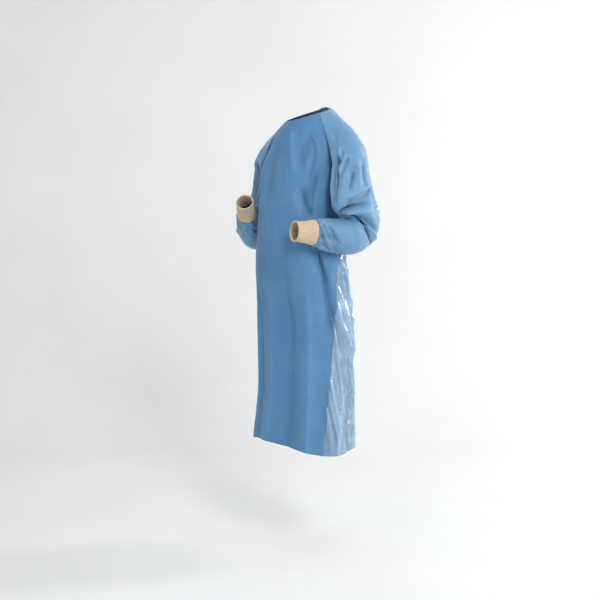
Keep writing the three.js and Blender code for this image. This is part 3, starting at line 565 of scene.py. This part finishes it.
LEFT_PINCHES = [
    (((0.4, 84), (0.373, 116), (0.352, 140), (0.345, 172)), 5.5, -14),
    (((0.45, 88), (0.484, 115), (0.514, 133), (0.53, 156), (0.535, 200), (0.532, 252)), 4.5, -13),
    (((0.519, 140), (0.549, 156), (0.569, 177), (0.579, 205), (0.577, 290)), 4.5, -11),
    (((0.25, 196), (0.283, 150), (0.363, 118)), 7, -6),
    (((0.08, 150), (0.15, 144), (0.23, 138)), 7, -4),
    (((0.05, 181), (0.2, 173)), 8, -3),
    (((-0.12, 100), (0.05, 72), (0.17, 74), (0.34, 84)), 5, -8),
    (((-0.06, 104), (0.08, 88), (0.2, 92), (0.35, 98)), 5, -7),
    (((0.06, 84), (-0.1, 98), (-0.3, 110)), 5, 4),
    (((0.04, 92), (-0.1, 108), (-0.26, 122)), 5, -5),
    (((0.08, 98), (-0.04, 114), (-0.18, 128)), 5, 5),
    (((0.12, 104), (0.02, 120), (-0.1, 134)), 5, -4),
    (((1.0, 127), (0.97, 180), (0.89, 228)), 5, -5),
    (((0.96, 126), (0.94, 169), (0.82, 214)), 5, -4),
    (((0.99, 173), (0.93, 222), (0.78, 261)), 5, -5),
    (((0.91, 130), (0.87, 180), (0.74, 214)), 5, -4),
    (((0.9, 92), (0.84, 112)), 6, -4),
    (((0.98, 96), (0.93, 140)), 5, 3),
    (((0.2, 230), (0.3, 210), (0.38, 190)), 7, -5),
    (((0.4, 200), (0.42, 240), (0.41, 280)), 7, -5),
    (((0.98, 260), (0.88, 300), (0.8, 330)), 6, -5),
    (((0.98, 20), (0.88, 40), (0.8, 50)), 6, -5),
]
RIGHT_PINCHES = [
    (((0.4, 80), (0.37, 116), (0.36, 160)), 6, -9),
    (((0.45, 84), (0.5, 130), (0.53, 200)), 5, -9),
    (((0.52, 136), (0.57, 180), (0.58, 240)), 5, -7),
    (((0.24, 200), (0.29, 150), (0.36, 118)), 7, -5),
    (((-0.12, 98), (0.06, 72), (0.3, 80)), 5, -7),
    (((-0.16, 118), (0.06, 96), (0.26, 100)), 6, -5),
    (((1.0, 120), (0.96, 176), (0.88, 220)), 5, -4),
    (((0.99, 180), (0.92, 226), (0.8, 262)), 5, -4),
    (((0.98, 270), (0.88, 300), (0.8, 330)), 6, -4),
    (((0.92, 70), (0.84, 100)), 6, -4),
]
rng = np.random.default_rng(20)


def scattered(count, low, high, slope, length, width, height):
    """Small creases at random places of a surface, along a leading direction."""
    rows = []
    for _ in range(count):
        start = np.array([rng.uniform(low[i], high[i]) for i in (0, 1)])
        run = rng.uniform(*length)
        reach = np.array([slope[0] * run * rng.normal(1, 0.5), slope[1] * run * rng.uniform(0.7, 1)])
        depth = rng.uniform(*height) * rng.choice([-1, 1])
        rows.append(((tuple(start), tuple(start + reach)), rng.uniform(*width), depth))
    return rows


SMALL_BODY = (
    scattered(46, (-80, 90), (80, 420), (0.05, 1), (60, 200), (6, 13), (0.6, 1.6))
    + scattered(40, (-60, 480), (56, 1080), (0.02, 1), (90, 300), (8, 18), (0.5, 1.4))
    + scattered(60, (62, 500), (140, 1080), (0.07, 1), (70, 260), (5, 12), (0.9, 2.6))
    + scattered(34, (220, 500), (298, 1080), (0.0, 1), (90, 260), (6, 14), (0.8, 2.0))
    + scattered(30, (140, 500), (220, 1080), (0.0, 1), (90, 260), (7, 15), (0.6, 1.6))
    + scattered(30, (110, 120), (250, 440), (0.02, 1), (60, 180), (6, 13), (0.6, 1.5))
)
SMALL_SLEEVE = {
    name: scattered(26, (-0.6, 50), (0.3, 300), (0.0011, 0.25), (80, 220), (5, 10), (0.7, 1.8))
    + scattered(26, (0.3, 60), (0.6, 250), (0.0001, 0.6), (40, 120), (4, 9), (0.9, 2.4))
    + scattered(26, (0.55, 0), (0.9, 340), (0.0014, 0.2), (60, 160), (4, 8), (0.6, 1.5))
    for name in ("left", "right")
}
FOLD_POINTS = 9
CREASE_SHARPNESS = 6.6


def fold_line(corners, place):
    """A line over the surface through corners given in the surface's own coordinates."""
    corners = np.array(corners, float)
    at = np.linspace(0, len(corners) - 1, FOLD_POINTS + 4 * (len(corners) - 2))
    return place(*[np.interp(at, np.arange(len(corners)), corners[:, i]) for i in (0, 1)])


def nearest_on(line, points):
    """Distance to a polyline, and the share of its length there."""
    best = np.full(len(points), np.inf)
    share = np.zeros(len(points))
    for i in range(len(line) - 1):
        a, d = line[i], line[i + 1] - line[i]
        t = np.clip(((points - a) @ d) / max(d @ d, 1e-9), 0, 1)
        distance = np.linalg.norm(points - (a + t[:, None] * d), axis=1)
        closer = distance < best
        best[closer] = distance[closer]
        share[closer] = (i + t[closer]) / (len(line) - 1)
    return best, share


def noise(points, seed):
    """Smooth values from -1 to 1 at points in space, one lattice cell to a unit."""
    cell = np.floor(points).astype(np.int64)
    t = points - cell
    t = t * t * t * (t * (t * 6 - 15) + 10)
    total = np.zeros(len(points))
    for corner in np.ndindex(2, 2, 2):
        x, y, z = (cell + corner).T
        h = (x * 374761393 + y * 668265263 + z * 2147483647 + seed * 974634777) & 0xFFFFFFFF
        h = ((h ^ (h >> 13)) * 1274126177) & 0xFFFFFFFF
        value = ((h ^ (h >> 16)) & 0xFFFF) / 32767.5 - 1
        total += value * np.prod(np.where(corner, t, 1 - t), axis=1)
    return total


def creases(points, cell, seed):
    """Narrow ridges along winding lines, stretched as the cell is. Values from 0 to 1."""
    warp = np.stack([noise(points / 90, seed + 5 + i) for i in range(3)], axis=1) * 22
    value = np.abs(noise((points + warp) / np.array(cell, float), seed))
    return np.exp(-value * CREASE_SHARPNESS)


def crumple(points, cell, seed):
    """Uneven small ridges and troughs of paper-like cloth, from -1 to 1."""
    large = creases(points, cell, seed) - creases(points, cell, seed + 20)
    finer = [c * 0.5 for c in cell]
    small = creases(points, finer, seed + 40) - creases(points, finer, seed + 60)
    where = 0.35 + 0.65 * ease(noise(points / 120, seed + 80), -0.5, 0.5)
    return (large * 0.7 + small * 0.35) * where


def fold_heights(points, folds, place, hat=0.0, fade=(0.25, 0.25)):
    total = np.zeros(len(points))
    for corners, width, height in folds:
        line = fold_line(corners, place)
        reach = 3.2 * width * (2 if hat else 1)
        near = np.all((points > line.min(0) - reach) & (points < line.max(0) + reach), axis=1)
        if not near.any():
            continue
        distance, share = nearest_on(line, points[near])
        taper = ease(share, 0, fade[0]) * (1 - ease(share, 1 - fade[1], 1))
        if hat:
            shape = np.exp(-np.abs(distance / width) ** 1.3) - hat * np.exp(-((distance / (2 * width)) ** 2))
        else:
            # A soft fold with a narrower crest.
            shape = 0.75 * np.exp(-((distance / width) ** 2)) + 0.45 * np.exp(-distance / (0.45 * width))
        total[near] += height * taper * shape
    return total


# The cloth as one surface. Heights and widths in millimetres, RAISED as shares of a table's heights
CRUMPLE = dict(body=1.5, sleeve=1.9, back=3.6)
RAISED = dict(fold=1.15, pinch=1.2, small=1.5)
# Crease depth in millimetres at which the painted shade and highlight are full.
FULL_PAINTED_SHADING = 9
SEAM_CALM = (3, 22)
SEAM_SINK, SEAM_WIDTH = 0.9, 2.2
THICKNESS, SEAM_DRAW = 0.8, 0.25
STEPS_PER_MM = 50


def seam_angle(drop):
    return np.where(drop <= UNDERARM, 90.0, read_table(BODY, np.maximum(drop, UNDERARM))[..., 6])


def lap_angle(drop):
    return LAP_NECK + (LAP_HEM - LAP_NECK) * np.minimum(1, np.asarray(drop) / LENGTH)


def lap_lift(angle, drop):
    edge = 180 - lap_angle(drop)
    return LAP_LIFT * ease((angle - edge + LAP_RISE) / (LAP_RISE - 3), 0, 1)


def laid_on(place, angle, drop, height):
    angle, drop = alike(angle, drop)
    here = place(angle, drop)
    beside, below = place(angle + 1, drop) - here, place(angle, drop + 1) - here
    return here + unit(np.cross(below, beside)) * np.asarray(height)[..., None]


YOKE_ROWS, BODY_ROWS = 46, 156
FRONT_COLUMNS, BACK_COLUMNS = 176, 100
yoke_drops = np.linspace(BAND_SHARE, 1, YOKE_ROWS + 1) * UNDERARM
body_drops = np.linspace(UNDERARM, LENGTH, BODY_ROWS + 1)
drops = np.concatenate([yoke_drops, body_drops[1:]])[:, None]
side_seam, lap = seam_angle(drops), lap_angle(drops)
across_back = np.linspace(0, 1, BACK_COLUMNS + 1)
front_angle = np.linspace(-1, 1, FRONT_COLUMNS + 1) * side_seam
left_angle = side_seam * (1 - across_back) + (180 + lap) * across_back
right_angle = (180 - lap) * (1 - across_back) + (360 - side_seam) * across_back

SLEEVE_COLUMNS = 132
# Rows of a sleeve lie closest round the elbow and above the cuff.
ROW_PLACES, ROW_COUNTS = (0, 0.22, 0.62, 0.8, 1), (0, 28, 150, 182, 232)
tube_along = np.interp(np.arange(ROW_COUNTS[-1] + 1), ROW_COUNTS, ROW_PLACES)
sleeve_along = np.concatenate([np.linspace(BAND_SHARE, 1, YOKE_ROWS + 1)[:-1] - 1, tube_along])[:, None]


def sleeve_grid(arm):
    share = np.linspace(0, 1, SLEEVE_COLUMNS + 1)[None, :]
    # Columns lie closer on the outer side of the arm.
    angle = 360 * (share + 0.06 * np.sin(2 * np.pi * share))
    angle = np.broadcast_to(angle, (len(sleeve_along), SLEEVE_COLUMNS + 1)).copy()
    tube = (sleeve_along >= 0)[:, 0]
    angle[tube, -1] = 0
    angle[~tube, -1] = 360
    return arm.point(sleeve_along, angle)


grids = {
    "gown_front": front_point(front_angle, drops),
    "back_left": laid_on(back_point, left_angle, drops, lap_lift(left_angle, drops)),
    "back_right": back_point(right_angle, drops),
    "sleeve_left": sleeve_grid(arms["left"]),
    "sleeve_right": sleeve_grid(arms["right"]),
}

# Points that pieces share count as one, so that the cloth has no cracks.
all_points = np.vstack([g.reshape(-1, 3) for g in grids.values()])
keys = np.round(all_points * STEPS_PER_MM).astype(np.int64)
_, first, inverse = np.unique(keys, axis=0, return_index=True, return_inverse=True)
inverse = inverse.ravel()
points = all_points[first]
index_of, start = {}, 0
for name, grid in grids.items():
    count = grid.shape[0] * grid.shape[1]
    index_of[name] = inverse[start : start + count].reshape(grid.shape[:2])
    start += count


def grid_faces(name):
    """The piece's quads, facing outwards."""
    index = index_of[name]
    a, b = index[:-1, :-1].ravel(), index[1:, :-1].ravel()
    c, d = index[1:, 1:].ravel(), index[:-1, 1:].ravel()
    return np.stack([a, d, c, b] if name == "sleeve_right" else [a, b, c, d], axis=1)


def shared_normals(positions):
    """Unit normals of the whole garment, the same for pieces that meet."""
    total = np.zeros_like(positions)
    for name in grids:
        quads = grid_faces(name)
        p = positions[quads]
        face = np.cross(p[:, 2] - p[:, 0], p[:, 3] - p[:, 1])
        own = np.zeros_like(positions)
        for k in range(4):
            np.add.at(own, quads[:, k], face)
        total += unit(own) * (np.linalg.norm(own, axis=1, keepdims=True) > 0)
    return unit(total)


kind = np.zeros(len(points), int)
for name, value in (("sleeve_left", 1), ("sleeve_right", 2)):
    kind[index_of[name]] = value

normals = shared_normals(points)
height = np.zeros(len(points))
small = np.zeros(len(points))
pinched = np.zeros(len(points))
for value, folds, pinches, small_folds, place in (
    (0, BODY_FOLDS, BODY_PINCHES, SMALL_BODY, panel_point),
    (1, LEFT_FOLDS, LEFT_PINCHES, SMALL_SLEEVE["left"], arms["left"].point),
    (2, RIGHT_FOLDS, RIGHT_PINCHES, SMALL_SLEEVE["right"], arms["right"].point),
):
    own = kind == value
    rows = [((row[:2], row[2:4]), *row[4:]) for row in folds]
    height[own] = fold_heights(points[own], rows, place)
    pinched[own] = fold_heights(points[own], pinches, place, hat=0.3, fade=(0.06, 0.4))
    small[own] = fold_heights(points[own], small_folds, place, hat=0.4)
seam_drops = np.linspace(0, UNDERARM, 17)
raglan_seams = [front_point(90 * s, seam_drops) for s in (1, -1)]
raglan_seams += [back_point(180 + 90 * s, seam_drops) for s in (1, -1)]
from_seam = np.min([nearest_on(line, points)[0] for line in raglan_seams], axis=0)
calm = ease(from_seam, *SEAM_CALM)
on_back = np.zeros(len(points))
for name in ("back_left", "back_right"):
    on_back[index_of[name]] = 1
for name in ("gown_front", "sleeve_left", "sleeve_right"):
    on_back[index_of[name][:, [0, -1]]] = 0.5
on_body = crumple(points, (26, 26, 95), 3) * CRUMPLE["body"]
on_sleeve = crumple(points, (30, 30, 46), 7) * CRUMPLE["sleeve"]
fine = np.where(kind == 0, on_body, on_sleeve) * (1 - on_back)
fine += crumple(points, (22, 22, 70), 11) * CRUMPLE["back"] * on_back
raised = height * RAISED["fold"] + pinched * RAISED["pinch"] + small * RAISED["small"] + fine
points = points + normals * (raised * calm)[:, None]
# How deep in a crease or far out on a fold each point lies, from -1 to 1: painted shade in the cloth's colour
# at creases and painted highlight at crests
painted_fold_shading = np.clip((pinched + 0.35 * height + 0.35 * small + 0.25 * fine) * calm / FULL_PAINTED_SHADING, -1, 1)
# Seams sink a little into the cloth.
points = points - normals * (SEAM_SINK * np.exp(-((from_seam / SEAM_WIDTH) ** 2)))[:, None]
normals = shared_normals(points)

CLOTHS = {
    "gown_front": (front_cloth, "front_cloth"),
    "back_left": (back_cloth, "back_cloth"),
    "back_right": (back_cloth, "back_cloth"),
    "sleeve_left": (sleeve_cloth, "sleeve_cloth"),
    "sleeve_right": (sleeve_cloth, "sleeve_cloth"),
}


def cloth_object(name):
    index = index_of[name]
    used, local = np.unique(grid_faces(name).ravel(), return_inverse=True)
    grid = points[index]
    # Draw the edges back along the surface, so that neighbours keep a narrow gap.
    shift = np.zeros_like(grid)
    shift[:, 0] += unit(grid[:, 1] - grid[:, 0])
    shift[:, -1] += unit(grid[:, -2] - grid[:, -1])
    shift[0] += unit(grid[1] - grid[0])
    shift[-1] += unit(grid[-2] - grid[-1])
    if name.startswith("sleeve"):
        below = (sleeve_along >= 0)[:, 0]
        shift[below, 0] = 0
        shift[below, -1] = 0
        shift[-1] = unit(grid[-2] - grid[-1])
    moved = points.copy()
    moved[index] = grid + shift * SEAM_DRAW
    vertices = moved[used] / 1000
    across = np.linalg.norm(np.diff(grid, axis=1), axis=2)
    down = np.linalg.norm(np.diff(grid, axis=0), axis=2)
    u = np.concatenate([np.zeros((grid.shape[0], 1)), np.cumsum(across, axis=1)], axis=1)
    u = u - u.mean(axis=1, keepdims=True)
    v = np.concatenate([[0], np.cumsum(down.mean(axis=1))])[:, None] * np.ones_like(u)
    uv_all = np.zeros((len(points), 2))
    uv_all[index] = np.stack([u, v], axis=-1) / 1000
    cloth, slot = CLOTHS[name]
    made = new_mesh_object(name + "_cloth", vertices, local.reshape(-1, 4), cloth, uv_all[used])
    # The fold attribute carries the painted crease shade and crest highlight into the material.
    tone = made.data.attributes.new("fold", "FLOAT", "POINT")
    tone.data.foreach_set("value", painted_fold_shading[used].astype(np.float32))
    shell = made.modifiers.new("shell", "SOLIDIFY")
    shell.thickness = THICKNESS / 1000
    shell.offset = -1
    shell.use_even_offset = False
    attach(made, "root")
    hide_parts(name)
    return made


cloths = {name: cloth_object(name) for name in grids}


def plain_object(name, vertices_mm, faces, look, slot, uvs=None, replaces=()):
    made = new_mesh_object(name, np.asarray(vertices_mm) / 1000, faces, look, uvs)
    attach(made, "root")
    for node in replaces:
        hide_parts(node)
    return made


# Knitted cuffs
CUFF = dict(ribs=46, columns_per_rib=6, rows=44, gap=0.6, wall=1.4, round=220)
KNIT = dict(rib=0.95, loop=0.18, loop_pitch=3.2, soft=0.9, roll=0.6)


def cuff_object(name, arm):
    rows = CUFF["rows"]
    columns = CUFF["ribs"] * CUFF["columns_per_rib"]
    end = read_table(SLEEVE, 1.0)
    _, inward, front = arm.frame(np.array(0.999))
    turn = np.arange(columns) / columns * 2 * np.pi
    outer, inner, uvs = [], [], []
    for share in np.arange(rows + 1) / rows:
        centre = arm.seam + arm.forearm * (CUFF["gap"] + (CUFF_LENGTH - CUFF["gap"]) * share)
        narrowed = ease(share, -0.2, 1)
        across = arm.across * end[1] * (1 - narrowed) + arm.end * narrowed
        fore = arm.fore * end[3] * (1 - narrowed) + arm.end * narrowed
        lean = 0.14 * math.sin(share * 5) + 0.05 * math.sin(share * 13 + 1)
        phase = (turn + lean * 0.3) * CUFF["ribs"]
        rib = KNIT["rib"] + KNIT["rib"] * np.cos(phase)
        loop = KNIT["loop"] * np.cos(phase) * math.cos(share * CUFF_LENGTH * 2 * math.pi / KNIT["loop_pitch"])
        soft = KNIT["soft"] * np.sin(2 * turn + 4 * share) * math.sin(math.pi * share)
        rolled = KNIT["roll"] * math.cos(share * math.pi) ** 8
        for rings, more in ((outer, rib + loop + soft + rolled), (inner, soft - CUFF["wall"])):
            sideways = inward * ((across + more) * np.cos(turn))[:, None]
            rings.append(centre + sideways + front * ((fore + more) * np.sin(turn))[:, None])
        cloth = (turn / (2 * np.pi) * CUFF["round"], np.full(columns, share * CUFF_LENGTH))
        uvs.append(np.stack(cloth, axis=1) / 1000)
    j = np.arange(columns)
    after = (j + 1) % columns
    count, last = (rows + 1) * columns, rows * columns
    quads = [
        (j, after, count + after, count + j),
        (last + j, count + last + j, count + last + after, last + after),
    ]
    for a in range(0, last, columns):
        wall = (a + j, a + columns + j, a + columns + after, a + after)
        quads += [wall, tuple(count + k for k in wall[::-1])]
    faces = np.vstack([np.stack(quad if arm.side > 0 else quad[::-1], axis=1) for quad in quads])
    uv = np.vstack(uvs + uvs)
    plain_object(name + "_knit", np.vstack(outer + inner), faces, knit_cloth, "knit", uv, (name,))


for side in arms:
    cuff_object("cuff_" + side, arms[side])


# Strips: neck binding, tab, waist tie and bow
def strip_object(name, centre, across, face, width, thick, replaces=(), round_edge=0.5, steps=12):
    """A strip of rounded section swept along stations. width may differ from station to station."""
    n = len(centre)
    width = np.broadcast_to(np.asarray(width, float), (n,))
    flat = np.linspace(-0.5, 0.5, steps)
    section = np.array([(w, 0.5) for w in flat] + [(w, -0.5) for w in flat[::-1]])
    # Round the long edges by pulling the outermost points in.
    section[np.abs(section[:, 0]) > 0.49, 1] *= round_edge
    k = len(section)
    vertices = (
        centre[:, None]
        + across[:, None] * (section[None, :, 0] * width[:, None])[..., None]
        + face[:, None] * (section[None, :, 1] * thick)[..., None]
    ).reshape(-1, 3)
    length = lengths(centre)
    uv = np.stack([np.tile(section[:, 0], n) * np.repeat(width, k), np.repeat(length, k)], axis=1) / 1000
    faces = []
    for start in range(0, (n - 1) * k, k):
        for q in range(k):
            r = (q + 1) % k
            faces.append((start + q, start + r, start + k + r, start + k + q))
    faces.append(tuple(range(k))[::-1])
    faces.append(tuple((n - 1) * k + q for q in range(k)))
    # Face the sides outwards.
    f = vertices[list(faces[k // 4])]
    if np.dot(np.cross(f[1] - f[0], f[3] - f[0]), f.mean(0) - centre[0]) < 0:
        faces = [quad[::-1] for quad in faces]
    plain_object(name, vertices, faces, trim_cloth, "trim", uv, replaces)


def laid_strip(name, middle, upper, lower, width, thick, node, **shape):
    """A strip along a middle line on the cloth, turned as the lines above and below it lie."""
    along = unit(np.gradient(middle, axis=0))
    across = unit(project(upper - lower, along))
    strip_object(name, middle, across, np.cross(along, across), width, thick, (node,), **shape)


def yoke_point(angle, drop):
    """The top of the gown at an angle round the neckline, whichever piece lies there."""
    angle, drop = alike(angle, drop)
    turned = (angle + 540) % 360 - 180
    size = np.abs(turned)
    fr, bk = STATIONS["raglan_front"][0], STATIONS["raglan_back"][0]
    as_front = front_point(np.clip(turned / fr, -1, 1) * 90, drop)
    as_back = back_point(180 + ((angle % 360) - 180) / (180 - bk) * 90, drop)
    around = np.clip((size - fr) / (bk - fr), 0, 1) * 360
    left = arms["left"].point(drop / UNDERARM - 1, around)
    right = arms["right"].point(drop / UNDERARM - 1, around)
    sleeve = np.where((turned > 0)[..., None], left, right)
    out = np.where((size <= fr)[..., None], as_front, sleeve)
    return np.where((size >= bk)[..., None], as_back, out)


# Neck binding
BINDING = dict(thick=2.6, sink=0.9, stations=260, evened=3)
neck_share = (180 - STATIONS["raglan_back"][0]) / 90
over = LAP_NECK * neck_share
angles = np.linspace(180 - over, 540 + over, BINDING["stations"])
band_depth = BAND_SHARE * UNDERARM - 1.2
panel_angles = 180 + (angles - 540) / neck_share
lift = np.where(angles > 360, lap_lift(panel_angles, 0.0), 0)
pucker = 0.25 * np.sin(angles * 1.9) + 0.2 * np.sin(angles * 0.83 + 1)
height = lift - BINDING["sink"] + pucker
binding_lines = [laid_on(yoke_point, angles, band_depth * share, height) for share in (0.5, 0.0, 1.0)]
for line in binding_lines:
    for _ in range(BINDING["evened"]):
        # Even out the small kinks where the pieces meet.
        line[1:-1] = line[1:-1] * 0.5 + (line[:-2] + line[2:]) * 0.25
binding = ("neck_binding_strip", *binding_lines, band_depth, BINDING["thick"], "neck_binding")
laid_strip(*binding, round_edge=0.35, steps=8)

# Tab that closes the neck
TAB = dict(length=62, width=26, thick=1.8, cloth=1.6, clear=1.2, drop=12)
TAB_STEPS = 40
turn = math.degrees(TAB["length"] / (NECK["half_depth"] + 30)) / 0.62
tab_angle = np.linspace(180 + LAP_NECK - turn / 2, 180 + LAP_NECK + turn / 2, TAB_STEPS)


def tab_line(depth):
    drop = TAB["drop"] + depth * TAB["width"]
    edge = 180 + lap_angle(drop)
    step = LAP_LIFT * (1 - ease(tab_angle, edge + 2, edge + 12))
    return laid_on(back_point, tab_angle, drop, step + TAB["clear"] + TAB["thick"] / 2)


from_end = np.minimum(np.arange(TAB_STEPS), np.arange(TAB_STEPS)[::-1])
tab_width = TAB["width"] * np.minimum(1, 0.72 + from_end * 0.09)
tab_lines = [tab_line(share) for share in (0.5, 0.0, 1.0)]
laid_strip("neck_tab_strip", *tab_lines, tab_width, TAB["cloth"], "neck_tab", steps=10)

# Waist ties
TIE = dict(drop=476, width=28, wall=1.6, clear=2.4, sewn=0.5, start=101)
RIBBON = 1.1


def tie_strip(node, start, end):
    angle = np.linspace(start, end, 110)

    def line(depth):
        drop = TIE["drop"] + depth * TIE["width"]
        lift = LAP_LIFT * ease(angle, 110, 140) * (1 - ease(angle, 206, 224))
        from_side = np.minimum(angle, 360 - angle) - TIE["start"]
        clear = TIE["sewn"] + (TIE["clear"] - TIE["sewn"]) * ease(from_side, 0, 14)
        ripple = 0.5 * np.sin(angle * 0.35 + depth * 2)
        return laid_on(back_point, angle, drop, lift + clear + TIE["wall"] / 2 + 0.3 + ripple)

    laid_strip(node + "_strip", line(0.0), line(-0.5), line(0.5), TIE["width"] - 0.5, RIBBON, node)


tie_strip("waist_tie_left", TIE["start"], 179.8)
tie_strip("waist_tie_right", 180.2, 360 - TIE["start"])

# Bow
BOW = dict(knot=(18, 10, 16), width=26, stand=9)
BOW_LOOP = [
    (2, 0, 0), (24, 6, 1), (50, 10, -1), (74, 10, -6), (87, 4, -10),
    (80, -2, -10), (54, -4, -6), (26, -3, -2), (2, 0, 0),
]
BOW_ENDS = [(1, 212, 3, 10), (-1, 178, 3, 8)]


def smooth_line(control, count):
    """A Catmull-Rom line through the control points, evenly spaced."""
    control = np.asarray(control, float)
    p = np.vstack([2 * control[0] - control[1], control, 2 * control[-1] - control[-2]])
    made = []
    for i in range(len(control) - 1):
        for t in np.linspace(0, 1, 24, endpoint=False):
            a, b, c, d = p[i : i + 4]
            square, cube = 2 * a - 5 * b + 4 * c - d, 3 * b - a - 3 * c + d
            made.append(0.5 * (2 * b + (c - a) * t + square * t**2 + cube * t**3))
    made = np.array(made + [control[-1]])
    length = lengths(made)
    return points_at(np.linspace(0, length[-1], count), length, made)


stand = LAP_LIFT + TIE["clear"] + TIE["wall"] + BOW["knot"][1] + 0.3
knot_centre = laid_on(back_point, 180.0, float(TIE["drop"]), stand)
bow_parts = []
for side in (1, -1):
    line = smooth_line([(s * side, out, up) for s, out, up in BOW_LOOP], 90) + knot_centre
    along = unit(np.gradient(line, axis=0))
    across = np.tile([0.0, 0.0, 1.0], (len(line), 1))
    face = unit(np.cross(along, across))
    gather = 0.45 + 0.55 * ease(np.abs(line[:, 0] - knot_centre[0]), 8, 40)
    bow_parts.append((line, across, face, BOW["width"] * gather))
for side, length, a0, a1 in BOW_ENDS:
    share = np.linspace(0, 1, 70)
    angle = 180 - side * (a0 + (a1 - a0) * ease(share, 0, 1))
    drop = TIE["drop"] + 4 + share * length
    off = LAP_LIFT + BOW["stand"] + 2 * np.sin(share * 9 + side)
    line = laid_on(back_point, angle, drop, off)
    along = unit(np.gradient(line, axis=0))
    across = unit(project(np.tile([float(side), 0, 0], (len(line), 1)), along))
    face = np.cross(along, across)
    twist = 0.35 * np.sin(share * 5 + side) * share
    across_t = across * np.cos(twist)[:, None] + face * np.sin(twist)[:, None]
    face_t = np.cross(along, across_t)
    bow_parts.append((line, across_t, face_t, BOW["width"] * (0.5 + 0.5 * ease(share, 0.02, 0.2))))
for i, part in enumerate(bow_parts):
    strip_object("waist_bow_strip_%d" % (i + 1), *part, RIBBON, () if i else ("waist_bow",))

# The knot: a band drawn tight round the middle, with soft creases.
rings, sides = 26, 48
a, b = np.linspace(0, np.pi, rings + 1)[:, None], np.arange(sides) / sides * 2 * np.pi
crease = 1 + 0.05 * np.sin(5 * a + 1.5 * np.sin(b)) + 0.03 * np.sin(9 * a + b)
flat = np.abs(np.sin(a)) ** 0.7
ball = stack(np.cos(a), flat * np.sin(b), flat * np.cos(b)) * BOW["knot"] * crease[..., None]
knot_faces = []
for ring in range(0, rings * sides, sides):
    for k in range(sides):
        m = (k + 1) % sides
        knot_faces.append((ring + k, ring + sides + k, ring + sides + m, ring + m))
plain_object("waist_knot", knot_centre + ball.reshape(-1, 3), knot_faces, trim_cloth, "trim")


# Stitches
def stitch_row(lines_mm, ups, pitch=4.0, length=2.6, radius=0.32, sides=5):
    """Small rounded stitches along lines on the cloth, joined in one mesh."""
    vertices, faces = [], []
    for line, up in zip(lines_mm, ups):
        at = lengths(line)
        for c in np.arange(pitch, at[-1] - pitch, pitch):
            a, b = points_at(c - length / 2, at, line), points_at(c + length / 2, at, line)
            n = unit(points_at(c, at, up))
            d = unit(b - a)
            w = np.cross(d, n)
            base = len(vertices)
            for t, r in ((0.0, 0.3), (0.25, 1.0), (0.75, 1.0), (1.0, 0.3)):
                mid = a + (b - a) * t + n * (0.1 + radius * (0.2 if r < 1 else 0.8))
                for q in range(sides):
                    turn = 2 * math.pi * q / sides
                    vertices.append(mid + radius * r * (w * math.cos(turn) + n * math.sin(turn)))
            for ring in range(base, base + 3 * sides, sides):
                for q in range(sides):
                    m = (q + 1) % sides
                    faces.append((ring + q, ring + m, ring + sides + m, ring + sides + q))
            faces.append(tuple(range(base, base + sides))[::-1])
            faces.append(tuple(range(base + 3 * sides, base + 4 * sides)))
    return np.array(vertices), faces


def grid_line(name, row=None, column=None, stop=None):
    index = index_of[name]
    chosen = index[row] if row is not None else index[:stop, column]
    return points[chosen], normals[chosen]


def stitch_object(cloth_name):
    lines, ups = zip(*[grid_line(cloth_name, **pick) for pick in STITCHED[cloth_name]])
    vertices, faces = stitch_row(lines, ups)
    name = cloth_name.removeprefix("gown_")
    return plain_object("stitches_" + name, vertices, faces, thread, CLOTHS[cloth_name][1])


RAGLAN_AND_CUFF = [dict(column=1, stop=YOKE_ROWS), dict(column=-2, stop=YOKE_ROWS), dict(row=-2)]
STITCHED = {
    "gown_front": [dict(row=-4), dict(column=1), dict(column=-2), dict(row=1)],
    "back_left": [dict(row=-4), dict(column=-4), dict(column=1), dict(row=1)],
    "back_right": [dict(row=-4), dict(column=-2), dict(row=1)],
    "sleeve_left": RAGLAN_AND_CUFF,
    "sleeve_right": RAGLAN_AND_CUFF,
}
stitches = {name: stitch_object(name) for name in STITCHED}


# Flat width, length and area of each cloth piece
def flat_facts(name):
    """Width, length and area of a piece laid flat, from the cloth as folded."""
    grid = points[index_of[name]]
    across = np.linalg.norm(np.diff(grid, axis=1), axis=2).sum(axis=1)
    down = np.linalg.norm(np.diff(grid, axis=0), axis=2).sum(axis=0)
    a, b, c, d = grid[:-1, :-1], grid[1:, :-1], grid[1:, 1:], grid[:-1, 1:]
    halves = ((b - a, d - a), (c - b, c - d))
    area = sum(np.linalg.norm(np.cross(*sides), axis=2).sum() / 2 for sides in halves)
    return across.max() / 1000, down.max() / 1000, area / 1e6


for name, made in cloths.items():
    width, length, area = flat_facts(name)
    min(area, width * length)
